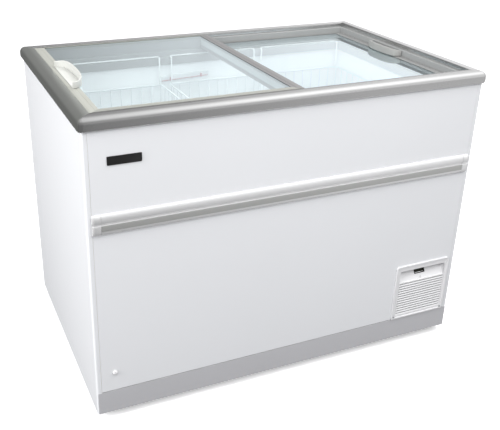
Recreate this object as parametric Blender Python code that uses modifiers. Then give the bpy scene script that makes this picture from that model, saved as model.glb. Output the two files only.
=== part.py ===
"""Chest freezer for ice cream: two sliding glass lids, hanging wire baskets, machinery, castors.

Metres.  The origin is on the floor under the middle of the overall footprint, +Z is up, the
front (control grille) faces -Y, left is -X and the lids slide along X.

All parts are modelled in a cabinet frame (x from the middle, y from the middle of the steel
body, z from the bottom edge of the skirt) and hang on one empty that lifts that frame onto its
castors.
"""
import math

import bmesh
import bpy
from mathutils import Matrix, Vector

# ------------------------------------------------------------------ shared sizes
HALF_X = 1.160 / 2       # steel body, half width
HALF_Y = 0.733 / 2       # steel body, half depth
FRONT = -HALF_Y          # y of the body's front face
SKIRT_GAP = 0.025        # floor to skirt bottom
Y_SHIFT = -0.0017        # puts the origin under the middle of the overall box
SHEET = 0.0010           # painted steel sheet
GAP = 0.0003             # assembly gap between neighbours
MITRE_GAP = 0.00015      # taken off each bar at a mitre
CORNER_R = 0.006         # plan radius of the body corners
PANEL_TOP = 0.8150
PANEL_RETURN = 0.014     # width of the side panels' returns on the front and rear
PANEL_EDGE = HALF_X - PANEL_RETURN - 0.0005   # half width of the front and rear panels

RIM_TOP = 0.8500
RIM_IN = 0.0295          # rim top, width inwards from the body face
UPPER_LEDGE = 0.8365     # running face of the upper lid
LOWER_LEDGE = 0.8070     # running face of the lower lid
STEP_IN = 0.0405         # wall between the two ledges, inwards from the body face
SHELF_Z = 0.7925         # ledge the basket loops rest on

INNER_X = HALF_X - 0.0650   # liner walls, half sizes
INNER_Y = HALF_Y - 0.0650
LINER_TOP = 0.7885
LINER_FLOOR = 0.150
HUMP_X = 0.210           # the liner steps up over the machine compartment
HUMP_Z = 0.345
ABOVE_ALL = 0.90         # top of cutters that open a part upwards

BASE_X = 0.5775          # base frame, half width
BASE_BOTTOM, BASE_TOP = 0.0385, 0.0685
BASE_PLATE_BOTTOM = BASE_TOP - 0.0050   # underside of the castor plates
DECK_Z = BASE_TOP + GAP  # machinery and foam stand here

CASTOR_X, CASTOR_Y = 0.500, 0.285
CORNERS = ((-1, -1), (1, -1), (1, 1), (-1, 1))       # signs of x and y, going round
SIGN = {"front": -1, "rear": 1, "left": -1, "right": 1}

GRILLE_X0, GRILLE_X1 = 0.365, 0.558
GRILLE_Z0, GRILLE_Z1 = 0.0708, 0.2585
GRILLE_SCREWS = {"left": 0.3730, "right": 0.5500}    # x
GRILLE_SCREW_Z = 0.0775

DRAIN_X, DRAIN_Z = -0.527, 0.127   # outlet in the front panel
DRAIN_HOLE = (-0.470, -0.250)      # x, y in the liner floor
CORD_X, CORD_Z = 0.520, 0.085      # hole in the rear panel

# ------------------------------------------------------------------ scene
for old in list(bpy.data.objects):
    bpy.data.objects.remove(old, do_unlink=True)

model = bpy.data.collections.new("ice_cream_display_freezer")
cutters = bpy.data.collections.new("cutters")
bpy.context.scene.collection.children.link(model)
bpy.context.scene.collection.children.link(cutters)
cutters.hide_render = True


def empty(name, location, parent=None):
    ob = bpy.data.objects.new(name, None)
    ob.empty_display_size = 0.05
    ob.location = location
    model.objects.link(ob)
    ob.parent = parent
    return ob


cabinet = empty("cabinet_frame", (0, Y_SHIFT, SKIRT_GAP))


# ------------------------------------------------------------------ materials
def material(name, color, roughness, metallic=0.0, alpha=1.0):
    mat = bpy.data.materials.new(name)
    mat.use_nodes = True
    inputs = mat.node_tree.nodes["Principled BSDF"].inputs
    inputs["Base Color"].default_value = (*color, 1.0)
    inputs["Roughness"].default_value = roughness
    inputs["Metallic"].default_value = metallic
    inputs["Alpha"].default_value = alpha
    return mat


PAINT = material("white_paint", color=(0.86, 0.87, 0.88), roughness=0.35)
LINER = material("liner_white", color=(0.88, 0.90, 0.91), roughness=0.40)
ALUMINIUM = material("anodised_aluminium", color=(0.62, 0.62, 0.62), roughness=0.32, metallic=0.9)
COLLAR = material("collar_grey", color=(0.60, 0.64, 0.66), roughness=0.45)
LID_FRAME = material("lid_frame_grey", color=(0.62, 0.62, 0.58), roughness=0.40)
LID_OVERLAP = material("lid_bar_grey", color=(0.40, 0.39, 0.38), roughness=0.35, metallic=0.6)
GLASS = material("lid_glass", color=(0.80, 0.90, 0.89), roughness=0.03, alpha=0.3)
KICK = material("kick_grey", color=(0.42, 0.42, 0.45), roughness=0.45)
PLASTIC = material("white_plastic", color=(0.88, 0.88, 0.88), roughness=0.40)
BLACK = material("black_plastic", color=(0.02, 0.02, 0.02), roughness=0.35)
DISPLAY = material("display_dark", color=(0.02, 0.025, 0.01), roughness=0.12)
FOAM = material("pu_foam", color=(0.80, 0.72, 0.45), roughness=0.95)
STEEL = material("galvanised_steel", color=(0.55, 0.57, 0.58), roughness=0.45, metallic=0.8)
COPPER = material("copper", color=(0.75, 0.36, 0.20), roughness=0.35, metallic=1.0)
WIRE = material("white_wire", color=(0.88, 0.90, 0.90), roughness=0.35)
RUBBER = material("grey_rubber", color=(0.12, 0.12, 0.12), roughness=0.8)
BRUSH = material("grey_brush", color=(0.50, 0.52, 0.52), roughness=0.9)


# ------------------------------------------------------------------ mesh helpers
def from_bmesh(bm):
    bmesh.ops.recalc_face_normals(bm, faces=bm.faces)
    mesh = bpy.data.meshes.new("mesh")
    bm.to_mesh(mesh)
    bm.free()
    return mesh


def to_bmesh(mesh):
    """Moves a mesh into a new bmesh."""
    bm = bmesh.new()
    bm.from_mesh(mesh)
    bpy.data.meshes.remove(mesh)
    return bm


def baked(data, modifier_type=None, **settings):
    """The closed-up evaluated mesh of a curve, or of a mesh under one modifier."""
    ob = bpy.data.objects.new("temporary", data)
    bpy.context.scene.collection.objects.link(ob)
    if modifier_type:
        modifier = ob.modifiers.new(modifier_type, modifier_type)
        for key, value in settings.items():
            setattr(modifier, key, value)
    bpy.context.view_layer.update()
    graph = bpy.context.evaluated_depsgraph_get()
    bm = to_bmesh(bpy.data.meshes.new_from_object(ob.evaluated_get(graph), depsgraph=graph))
    bpy.data.objects.remove(ob, do_unlink=True)
    bmesh.ops.remove_doubles(bm, verts=bm.verts, dist=1e-6)
    return from_bmesh(bm)


def box(x0, x1, y0, y1, z0, z1):
    bm = bmesh.new()
    bmesh.ops.create_cube(bm, size=1.0)
    bmesh.ops.scale(bm, vec=(x1 - x0, y1 - y0, z1 - z0), verts=bm.verts)
    bmesh.ops.translate(bm, vec=((x0 + x1) / 2, (y0 + y1) / 2, (z0 + z1) / 2), verts=bm.verts)
    return from_bmesh(bm)


def centred_box(half_x, half_y, z0, z1, x=0, y=0):
    return box(x - half_x, x + half_x, y - half_y, y + half_y, z0, z1)


# Turn local +Z to +Z, +X or -Y
AXES = {
    "Z": Matrix.Identity(4),
    "X": Matrix.Rotation(math.pi / 2, 4, "Y"),
    "Y": Matrix.Rotation(math.pi / 2, 4, "X"),
}


def cylinder(radius, start, end, axis, centre, segments=24):
    """Cylinder along an axis; centre holds the two other coordinates in x, y, z order."""
    middle = (start + end) / 2
    place = {"X": (middle, *centre), "Y": (centre[0], middle, centre[1]), "Z": (*centre, middle)}
    bm = bmesh.new()
    bmesh.ops.create_cone(bm, cap_ends=True, segments=segments, radius1=radius, radius2=radius,
                          depth=end - start)
    bmesh.ops.transform(bm, matrix=Matrix.Translation(place[axis]) @ AXES[axis], verts=bm.verts)
    return from_bmesh(bm)


def poly_curve(dimensions, lines, cyclic):
    curve = bpy.data.curves.new("curve", "CURVE")
    curve.dimensions = dimensions
    for line in lines:
        spline = curve.splines.new("POLY")
        spline.points.add(len(line) - 1)
        for point, position in zip(spline.points, line):
            point.co = (*position, 1)
        spline.use_cyclic_u = cyclic
    return curve


def outline(points, half, holes=()):
    """A filled outline in XY, extruded by half to each side."""
    curve = poly_curve("2D", [[(x, y, 0) for x, y in ring] for ring in (points, *holes)], True)
    curve.fill_mode = "BOTH"
    curve.extrude = half
    return baked(curve)


def prism(points, axis, low, high, holes=()):
    """Outline extruded from low to high; it is (y, z) along X, (x, z) along Y, (x, y) along Z."""
    mesh = outline(points, (high - low) / 2, holes)
    middle = (low + high) / 2
    for vert in mesh.vertices:
        first, second, along = vert.co
        along += middle
        vert.co = {"X": (along, first, second), "Y": (first, along, second),
                   "Z": (first, second, along)}[axis]
    return from_bmesh(to_bmesh(mesh))


def tube(points, radius, resolution=1, cyclic=False):
    curve = poly_curve("3D", [points], cyclic)
    curve.bevel_depth = radius
    curve.bevel_resolution = resolution
    curve.use_fill_caps = True
    return baked(curve)


def thick(path, thickness):
    """Closed outline of a mitred strip on the right of an open path (left if negative)."""
    points = [Vector(point) for point in path]
    normals = []
    for start, end in zip(points, points[1:]):
        along = (end - start).normalized()
        normals.append(Vector((along.y, -along.x)))
    offsets = []
    for i, point in enumerate(points):
        near = normals[max(i - 1, 0):i + 1]
        mitre = sum(near, Vector((0, 0))).normalized()
        offsets.append(tuple(point + mitre * (thickness / mitre.dot(near[0]))))
    return list(path) + offsets[::-1]


def arc(centre_x, centre_y, radius, start, end, steps):
    """Points of an arc, angles in degrees."""
    angles = [math.radians(start + (end - start) * i / steps) for i in range(steps + 1)]
    return [(centre_x + radius * math.cos(a), centre_y + radius * math.sin(a)) for a in angles]


def bend(points, radii, steps, cyclic=False):
    """Fillets the corners of a 3D polyline, with one radius or one for each point."""
    points = [Vector(p) for p in points]
    count = len(points)
    if not isinstance(radii, list):
        radii = [radii] * count
    out = []
    for i, (point, radius) in enumerate(zip(points, radii)):
        if not cyclic and i in (0, count - 1):
            out.append(tuple(point))
            continue
        before, after = points[i - 1] - point, points[(i + 1) % count] - point
        to_before, to_after = before.normalized(), after.normalized()
        half = to_before.angle(to_after) / 2
        if half > math.radians(89):      # nearly straight on
            out.append(tuple(point))
            continue
        trim = min(radius / math.tan(half), before.length * 0.49, after.length * 0.49)
        to_centre = (to_before + to_after).normalized() * (trim * math.tan(half) / math.sin(half))
        start, end = to_before * trim - to_centre, to_after * trim - to_centre
        sweep = start.angle(end)
        for k in range(steps + 1):
            t = k / steps
            spoke = start * math.sin((1 - t) * sweep) + end * math.sin(t * sweep)
            out.append(tuple(point + to_centre + spoke / math.sin(sweep)))
    return out


def lathe(profile, segments, axis="Z", centre=(0, 0, 0), closed=False):
    """Profile of (radius, z) turned about Z, then laid along an axis (see AXES)."""
    count = len(profile)
    edges = [(i, (i + 1) % count) for i in range(count if closed else count - 1)]
    line = bpy.data.meshes.new("profile")
    line.from_pydata([(radius, 0, z) for radius, z in profile], edges, [])
    mesh = baked(line, "SCREW", steps=segments, use_merge_vertices=True,
                 merge_threshold=0.00001, use_smooth_shade=False)
    mesh.transform(Matrix.Translation(centre) @ AXES[axis])
    return mesh


def joined(meshes):
    bm = bmesh.new()
    for part in meshes:
        bm.from_mesh(part)
    mesh = bpy.data.meshes.new("joined")
    bm.to_mesh(mesh)
    bm.free()
    return mesh


def round_corners(mesh, radius, steps):
    """Rounds the vertical edges at both x ends of a mesh that is centred in x."""
    bm = to_bmesh(mesh)
    end_x = max(vert.co.x for vert in bm.verts)

    def is_corner(edge):
        a, b = (vert.co for vert in edge.verts)
        upright = abs(a.z - b.z) > 1e-5 and abs(a.x - b.x) < 1e-6 and abs(a.y - b.y) < 1e-6
        return upright and abs(abs(a.x) - end_x) < 1e-5

    bmesh.ops.bevel(bm, geom=[edge for edge in bm.edges if is_corner(edge)], offset=radius,
                    segments=steps, profile=0.5, affect="EDGES")
    return from_bmesh(bm)


def loft(rings, closed=False):
    """Skin through rings of points, with flat ends, or closed back onto the first ring."""
    bm = bmesh.new()
    rows = [[bm.verts.new(point) for point in ring] for ring in rings]
    count = len(rings[0])
    for a, b in zip(rows, rows[1:] + (rows[:1] if closed else [])):
        for j in range(count):
            bm.faces.new((a[j], b[j], b[(j + 1) % count], a[(j + 1) % count]))
    if not closed:
        bm.faces.new(rows[0])
        bm.faces.new(rows[-1])
    return from_bmesh(bm)


# ------------------------------------------------------------------ object helpers
def add(name, mesh, mat=None, parent=cabinet, location=(0, 0, 0)):
    """New object from a mesh in the parent's frame; without a material it is a hidden helper."""
    mesh.transform(Matrix.Translation(-Vector(location)))
    ob = bpy.data.objects.new(name, mesh)
    ob.location = location
    ob.parent = parent
    if mat is None:
        cutters.objects.link(ob)
        ob.hide_render = True
        ob.display_type = "WIRE"
    else:
        model.objects.link(ob)
        mesh.materials.append(mat)
    return ob


def boolean(ob, operation, meshes):
    """Adds a live Boolean whose helper is built from meshes in the object's parent frame."""
    name = f"{ob.name}_{operation.lower()}_{len(ob.modifiers)}"
    helper = add(name, joined(meshes), parent=ob.parent)
    modifier = ob.modifiers.new(helper.name, "BOOLEAN")
    modifier.operation = operation
    modifier.object = helper
    modifier.solver = "EXACT"


def cut(ob, *meshes):
    boolean(ob, "DIFFERENCE", meshes)


def unite(ob, *meshes):
    boolean(ob, "UNION", meshes)


def smooth(ob, angle=35):
    ob.data.shade_smooth()
    ob.data.set_sharp_from_angle(angle=math.radians(angle))


# ------------------------------------------------------------------ base and skirt
def build_base():
    """Tray open at the bottom, with a bored plate for each castor under its top."""
    half_y, wall = HALF_Y - 0.0022, 0.002
    base = add("base_frame", round_corners(
        centred_box(BASE_X, half_y, BASE_BOTTOM, BASE_TOP), CORNER_R, 1), STEEL)
    cut(base, centred_box(BASE_X - wall, half_y - wall, BASE_BOTTOM - 0.01, BASE_TOP - wall))
    spots = [(x_sign * CASTOR_X, y_sign * CASTOR_Y) for x_sign, y_sign in CORNERS]
    unite(base, *[centred_box(0.050, 0.040, BASE_PLATE_BOTTOM, BASE_TOP - 0.0010, x, y)
                  for x, y in spots])
    cut(base, *[cylinder(0.0063, BASE_TOP - 0.02, BASE_TOP + 0.02, "Z", spot, 16)
                for spot in spots])


def build_side_panels():
    """Sheets wrapped round the vertical corners, with a return front and rear."""
    edge, centre_x, centre_y = HALF_X - PANEL_RETURN, HALF_X - CORNER_R, HALF_Y - CORNER_R
    path = [(edge, -HALF_Y), *arc(centre_x, -centre_y, CORNER_R, -90, 0, 3),
            *arc(centre_x, centre_y, CORNER_R, 0, 90, 3), (edge, HALF_Y)]
    section = thick(path, -SHEET)
    for side in ("left", "right"):
        mesh = prism([(SIGN[side] * x, y) for x, y in section], "Z", 0.0, PANEL_TOP)
        smooth(add(f"{side}_side_panel", mesh, PAINT))


def build_front_panel():
    panel = add("front_panel", box(-PANEL_EDGE, PANEL_EDGE, FRONT, FRONT + SHEET,
                                   0.0700, PANEL_TOP), PAINT)
    cut(panel, box(GRILLE_X0 + 0.006, GRILLE_X1 - 0.006, FRONT - 0.01, FRONT + 0.01,
                   GRILLE_Z0 + 0.0098, GRILLE_Z1 - 0.008))
    cut(panel, cylinder(0.0080, FRONT - 0.01, FRONT + 0.01, "Y", (DRAIN_X, DRAIN_Z), 16))
    for x in GRILLE_SCREWS.values():
        cut(panel, grille_screw_hole(x))


def grille_screw_hole(x):
    return cylinder(0.0021, FRONT - 0.01, FRONT + 0.01, "Y", (x, GRILLE_SCREW_Z), 12)


def build_rear_panel():
    panel = add("rear_panel", box(-PANEL_EDGE, PANEL_EDGE, HALF_Y - SHEET, HALF_Y,
                                  0.0120, PANEL_TOP), PAINT)
    slots = [0.105 + 0.020 * i for i in range(8)]      # bottom edges
    cut(panel, *[box(0.315, 0.535, HALF_Y - 0.01, HALF_Y + 0.01, z, z + 0.008) for z in slots])
    cut(panel, cylinder(0.0060, HALF_Y - 0.01, HALF_Y + 0.01, "Y", (CORD_X, CORD_Z), 12))


def build_kick_plate():
    plate = add("kick_plate", box(-0.577, 0.577, FRONT - 0.0015, FRONT - GAP, 0.0, 0.0690), KICK)
    unite(plate, box(-0.5650, 0.5650, FRONT - 0.0009, FRONT + 0.0170, 0.0, 0.0012))


# ------------------------------------------------------------------ insulation and liner
FOAM_IN = 0.0014            # foam, inwards from the body face
COMPARTMENT_X0 = 0.270      # machine compartment, from here to the right wall
COMPARTMENT_TOP = 0.285

# Centre line from the liner floor to the front panel
DRAIN_PATH = bend([(*DRAIN_HOLE, LINER_FLOOR - 0.0015), (*DRAIN_HOLE, 0.128),
                   (DRAIN_HOLE[0], -0.285, 0.1275), (DRAIN_X, -0.330, DRAIN_Z),
                   (DRAIN_X, FRONT + 0.0016, DRAIN_Z)], 0.010, 2)


def tub(grow, top, radius):
    """L-shaped prism of the cold space, grown by grow, with rounded vertical corners."""
    x1, y1 = INNER_X + grow, INNER_Y + grow
    floor, hump_x, hump_z = LINER_FLOOR - grow, HUMP_X + grow, HUMP_Z - grow
    points = [(-x1, floor), (hump_x, floor), (hump_x, hump_z), (x1, hump_z), (x1, top), (-x1, top)]
    return round_corners(prism(points, "Y", -y1, y1), radius, 3)


def build_foam():
    """Block hollowed for the tub, the collar, the machine compartment and the drain hose."""
    foam = add("foam_insulation", round_corners(
        centred_box(HALF_X - FOAM_IN, HALF_Y - FOAM_IN, DECK_Z, 0.8040), CORNER_R, 1), FOAM)
    cut(foam, tub(0.0092, ABOVE_ALL, 0.020))
    cut(foam, centred_box(HALF_X - 0.050, HALF_Y - 0.050, 0.7660, ABOVE_ALL))
    cut(foam, box(COMPARTMENT_X0, HALF_X, -HALF_Y, HALF_Y, 0.0, COMPARTMENT_TOP))
    cut(foam, tube([(*DRAIN_HOLE, LINER_FLOOR + 0.01), *DRAIN_PATH[1:-1],
                    (DRAIN_X, FRONT - 0.01, DRAIN_Z)], 0.0105))


def build_liner():
    liner = add("inner_liner", tub(0.0010, LINER_TOP, 0.010), LINER)
    cut(liner, tub(0.0, ABOVE_ALL, 0.009))
    cut(liner, cylinder(0.0105, LINER_FLOOR - 0.02, LINER_FLOOR + 0.02, "Z", DRAIN_HOLE, 16))
    smooth(liner)


# (radius, z), top or outer end first; z = 0 is the face that meets the liner or the panel
STOPPER_PROFILE = [
    (0, 0.0085), (0.0040, 0.0080), (0.0045, 0.0045), (0.0140, 0.0030),
    (0.0140, 0.0), (0.0066, 0.0), (0.0060, -0.0110), (0, -0.0110)]
CAP_PROFILE = [
    (0, 0.0050), (0.0050, 0.0047), (0.0068, 0.0035), (0.0075, 0.0010),
    (0.0075, 0.0), (0.0053, 0.0), (0.0053, -0.0180), (0, -0.0180)]


def build_drain():
    """Hose through the foam, bored at both ends, a stopper in the liner and a cap in front."""
    hose = add("drain_hose", tube(DRAIN_PATH, 0.0090), PLASTIC)
    cut(hose, cylinder(0.0058, FRONT - 0.02, FRONT + 0.030, "Y", (DRAIN_X, DRAIN_Z), 12))
    cut(hose, cylinder(0.0072, LINER_FLOOR - 0.0135, LINER_FLOOR + 0.01, "Z", DRAIN_HOLE, 12))
    add("drain_stopper", lathe(STOPPER_PROFILE, 16, "Z", (*DRAIN_HOLE, LINER_FLOOR + GAP)),
        RUBBER, location=(*DRAIN_HOLE, LINER_FLOOR))
    smooth(add("drain_cap", lathe(CAP_PROFILE, 16, "Y", (DRAIN_X, FRONT - GAP, DRAIN_Z)),
               PLASTIC, location=(DRAIN_X, FRONT, DRAIN_Z)))


# ------------------------------------------------------------------ rim and track collar
RIM_STEPS = 3        # steps from the straight part to the mitre

# (outwards from the body face, z)
RIM_PATH = [
    (0.0040, 0.8158), (0.0066, 0.8178), (0.0081, 0.8218), (0.0085, 0.8270),
    (0.0085, 0.8325), (0.0077, 0.8375), (0.0056, 0.8419), (0.0024, 0.8453),
    (-0.0020, 0.8477), (-0.0075, 0.8493), (-0.0130, RIM_TOP), (-RIM_IN, RIM_TOP),
    (-RIM_IN, UPPER_LEDGE + 0.0007)]
COLLAR_PATH = [
    (-0.0045, 0.8200), (-0.0045, UPPER_LEDGE), (-STEP_IN, UPPER_LEDGE), (-STEP_IN, LOWER_LEDGE),
    (-0.0560, LOWER_LEDGE), (-0.0575, SHELF_Z), (-0.0705, SHELF_Z), (-0.0712, 0.7680)]


def rim_stations(half, offset):
    """(along, inwards) of one section point, from the straight part of a side to its mitre."""
    start = half - RIM_IN - 0.002
    radius = CORNER_R + offset
    stations = [(start, 0.0)]
    for k in range(RIM_STEPS + 1):
        gap = MITRE_GAP if k == RIM_STEPS else 0
        if radius > 0:
            angle = math.radians(45 * k / RIM_STEPS)
            stations.append((half - CORNER_R + radius * math.sin(angle) - gap,
                             radius * (1 - math.cos(angle))))
        else:
            share = (k + 1) / (RIM_STEPS + 1)
            stations.append((start + (half + offset - start) * share - gap, 0.0))
    return stations


def build_rim(side):
    """Bar along one side, its ends rounded in plan and mitred."""
    lengthwise = side in ("front", "rear")
    section = thick(RIM_PATH, -0.0016)
    rows = [rim_stations(HALF_X if lengthwise else HALF_Y, offset) for offset, _ in section]
    count = len(rows[0])
    rings = []
    for end, k in [(-1, k) for k in reversed(range(count))] + [(1, k) for k in range(count)]:
        ring = []
        for (offset, z), row in zip(section, rows):
            along, inwards = row[k]
            out = offset - inwards
            if lengthwise:
                ring.append((end * along, SIGN[side] * (HALF_Y + out), z))
            else:
                ring.append((SIGN[side] * (HALF_X + out), end * along, z))
        rings.append(ring)
    smooth(add(f"rim_{side}", loft(rings), ALUMINIUM), 30)


def build_collar():
    """Closed frame with the two lid ledges and the basket shelf."""
    section = thick(COLLAR_PATH, -0.0024)
    rings = [[(x_sign * (HALF_X + out), y_sign * (HALF_Y + out), z) for out, z in section]
             for x_sign, y_sign in CORNERS]
    add("lid_track_collar", loft(rings, closed=True), COLLAR)


# ------------------------------------------------------------------ front trim
RAIL_HALF, RAIL_CAP = 0.5675, 0.022      # half length over the end caps, length of a cap
RAIL_MID_Z = 0.5744
# (forwards from the body face, z): two beads, one above the other
RAIL_PATH = [
    (0.0008, 0.5460), (0.0036, 0.5470), (0.0066, 0.5505), (0.0086, 0.5560), (0.0093, 0.5630),
    (0.0088, 0.5695), (0.0074, 0.5738), (0.0056, 0.5762), (0.0076, 0.5790), (0.0097, 0.5830),
    (0.0105, 0.5885), (0.0100, 0.5940), (0.0082, 0.5985), (0.0050, 0.6015), (0.0008, 0.6028)]
# Share of the cap's length, scale of its forward reach, scale of its height
CAP_STATIONS = ((0, 1.0, 1.0), (0.80, 1.0, 1.0), (0.93, 0.86, 0.975), (1.0, 0.60, 0.93))


def build_bumper():
    end = RAIL_HALF - RAIL_CAP
    section = [(FRONT - out, z) for out, z in thick(RAIL_PATH, -0.0014)]
    smooth(add("bumper_rail", prism(section, "X", -end + 0.0005, end - 0.0005), ALUMINIUM), 30)
    for side in ("left", "right"):
        rings = [[(SIGN[side] * (end + RAIL_CAP * share), FRONT - GAP - (out + 0.0003) * reach,
                   RAIL_MID_Z + (z - RAIL_MID_Z) * height) for out, z in RAIL_PATH]
                 for share, reach, height in CAP_STATIONS]
        add(f"bumper_cap_{side}", loft(rings), PLASTIC)


def build_badge():
    add("badge_plate", box(-0.5220, -0.4350, FRONT - 0.0022, FRONT - GAP, 0.7262, 0.7490), BLACK)


# ------------------------------------------------------------------ control grille
GRILLE_R = 0.009                                     # its two upper corners
LOUVRE_X0, LOUVRE_X1, LOUVRE_Z0, LOUVRE_Z1 = 0.380, 0.547, 0.0825, 0.1950
WINDOW_X0, WINDOW_X1, WINDOW_Z0, WINDOW_Z1 = 0.380, 0.545, 0.1985, 0.2400
SLATS = 13
# (back from the front face, up from the slat's middle)
SLAT_SECTION = ((-0.0026, -0.0034), (-0.0010, -0.0038), (0.0050, 0.0028), (0.0036, 0.0038))
# (x, front edge back from the front face) of the upright webs behind the slats
WEBS = ((LOUVRE_X0 - 0.0006, -0.0012), ((LOUVRE_X0 + LOUVRE_X1) / 2, 0.0016),
        (LOUVRE_X1 + 0.0006, -0.0012))

# Back wall of the scoop behind the window, (y, z): it comes forward towards the bottom
SLOPE_TOP = (FRONT + 0.0210, WINDOW_Z1 - 0.0010)
SLOPE_BOTTOM = (FRONT + 0.0005, WINDOW_Z0 + 0.0005)
SLOPE_UP = (Vector((0, *SLOPE_TOP)) - Vector((0, *SLOPE_BOTTOM))).normalized()
# Turns local x, y, z to: along x, up the slope, out of the slope
SLOPE_TILT = Matrix(((1, 0, 0), (0, SLOPE_UP.y, -SLOPE_UP.z),
                     (0, SLOPE_UP.z, SLOPE_UP.y))).to_4x4()
CONTROLLER_AT = Vector((0.4600, *SLOPE_BOTTOM)) + SLOPE_UP * 0.0290
BUTTON_AT = Vector((0.4610, *SLOPE_BOTTOM)) + SLOPE_UP * 0.0065

# (radius, z), outer end first; z = 0 is the seat
BUTTON_PROFILE = [(0, 0.0016), (0.0034, 0.0014), (0.0040, 0.0008), (0.0040, -0.0045), (0, -0.0045)]
SCREW_PROFILE = [
    (0, 0.0022), (0.0018, 0.0021), (0.0032, 0.0012), (0.0035, 0.0),
    (0.0017, 0.0), (0.0017, -0.0110), (0, -0.0120)]


def on_slope(mesh, origin):
    mesh.transform(Matrix.Translation(origin) @ SLOPE_TILT)
    return mesh


def rectangle(x0, x1, z0, z1):
    return [(x0, z0), (x0, z1), (x1, z1), (x1, z0)]


def build_grille():
    """Flanged plate with a scooped window above a bank of louvres."""
    arc_z = GRILLE_Z1 - GRILLE_R
    plate = [(GRILLE_X0, GRILLE_Z0), (GRILLE_X1, GRILLE_Z0),
             *arc(GRILLE_X1 - GRILLE_R, arc_z, GRILLE_R, 0, 90, 4),
             *arc(GRILLE_X0 + GRILLE_R, arc_z, GRILLE_R, 90, 180, 4)]
    openings = (rectangle(LOUVRE_X0, LOUVRE_X1, LOUVRE_Z0, LOUVRE_Z1),
                rectangle(WINDOW_X0, WINDOW_X1, WINDOW_Z0, WINDOW_Z1))
    grille = add("grille_panel", prism(plate, "Y", FRONT - 0.0030, FRONT - GAP, openings), PLASTIC)

    (top_y, top_z), (bottom_y, bottom_z) = SLOPE_TOP, SLOPE_BOTTOM
    wall = 0.0016
    scoop_outer = [
        (FRONT - 0.0010, WINDOW_Z1 + wall), (top_y + wall, WINDOW_Z1 + wall),
        (top_y + wall, top_z), (bottom_y + 0.0018, bottom_z - 0.0020),
        (FRONT - 0.0010, bottom_z - 0.0020)]
    scoop_inner = [(FRONT - 0.0040, WINDOW_Z1), (top_y, WINDOW_Z1), SLOPE_TOP, SLOPE_BOTTOM,
                   (FRONT - 0.0040, bottom_z)]
    unite(grille, prism(scoop_outer, "X", WINDOW_X0 - wall, WINDOW_X1 + wall))
    cut(grille, prism(scoop_inner, "X", WINDOW_X0, WINDOW_X1))

    overlap = 0.0010                 # of slats and webs into the plate
    pitch = (LOUVRE_Z1 - LOUVRE_Z0) / SLATS
    slats = []
    for i in range(SLATS):
        z = LOUVRE_Z0 + (i + 0.5) * pitch
        slats.append(prism([(FRONT + back, z + up) for back, up in SLAT_SECTION],
                           "X", LOUVRE_X0 - overlap, LOUVRE_X1 + overlap))
    unite(grille, *slats)
    unite(grille, *[box(x - 0.0008, x + 0.0008, FRONT + back, FRONT + 0.0056,
                        LOUVRE_Z0 - overlap, LOUVRE_Z1 + overlap) for x, back in WEBS])

    cut(grille, on_slope(centred_box(0.0178, 0.0098, -0.010, 0.010), CONTROLLER_AT))
    cut(grille, on_slope(cylinder(0.0043, -0.010, 0.010, "Z", (0, 0), 16), BUTTON_AT))
    for side, x in GRILLE_SCREWS.items():
        cut(grille, grille_screw_hole(x))
        add(f"grille_screw_{side}",
            lathe(SCREW_PROFILE, 12, "Y", (x, FRONT - 0.0033, GRILLE_SCREW_Z)), STEEL)


def build_controls():
    """Digital controller set into the slope, and one push button below it."""
    controller = add("temperature_controller", on_slope(
        centred_box(0.0192, 0.0112, 0.0003, 0.0018), CONTROLLER_AT), DISPLAY)
    unite(controller, on_slope(centred_box(0.0175, 0.0095, -0.0260, 0.0010), CONTROLLER_AT))
    axis = empty("power_button_axis", BUTTON_AT, cabinet)
    add("power_button", on_slope(lathe(BUTTON_PROFILE, 16), (0, 0, 0)), PLASTIC, parent=axis)


# ------------------------------------------------------------------ sliding lids
LID_H = 0.0105            # frame height
LID_FRONT = 0.030         # profile widths: front, also the left lid's end
LID_REAR = 0.008
LID_END_RIGHT = 0.024     # right lid's end
LID_BAR = 0.0285          # overlap profile
LAP_X = 0.0240            # right edge of the overlap profiles, which stand one above the other
LID_SIDE_GAP = 0.0010     # to the rim or the collar
UPPER_Z = UPPER_LEDGE + 0.0005
LOWER_Z = LOWER_LEDGE + 0.0005

GRIP_H = 0.0232
GRIP_WALL, GRIP_PLATE = 0.0042, 0.0018
GRIP_POWER = 2 / 2.8      # squareness of the bow


def groove_from(width):
    """Depth, from the outer edge, of the bottom of a profile's glass groove."""
    return width - min(0.011, 0.4 * width)


def lid_profile(name, side, widths, half_x, half_y, mat, slide):
    """One frame bar, grooved for the glass and mitred to its neighbours."""
    width = widths[side]
    groove = groove_from(width)
    lengthwise = side in ("front", "rear")
    neighbours = ("left", "right") if lengthwise else ("front", "rear")
    section = [(0.0006, 0), (width, 0), (width, 0.0052), (groove, 0.0052), (groove, 0.0094),
               (width, 0.0094), (width, LID_H), (0.0012, LID_H), (0, LID_H - 0.0012), (0, 0.0006)]
    mesh = outline(section, 1.0)
    for vert in mesh.vertices:
        inwards, z, along = vert.co
        end = 1 if along > 0 else -1
        trim = inwards * widths[neighbours[along > 0]] / width + MITRE_GAP
        if lengthwise:
            vert.co = (end * (half_x - trim), SIGN[side] * (half_y - inwards), z)
        else:
            vert.co = (SIGN[side] * (half_x - inwards), end * (half_y - trim), z)
    add(name, from_bmesh(to_bmesh(mesh)), mat, parent=slide)


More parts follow.
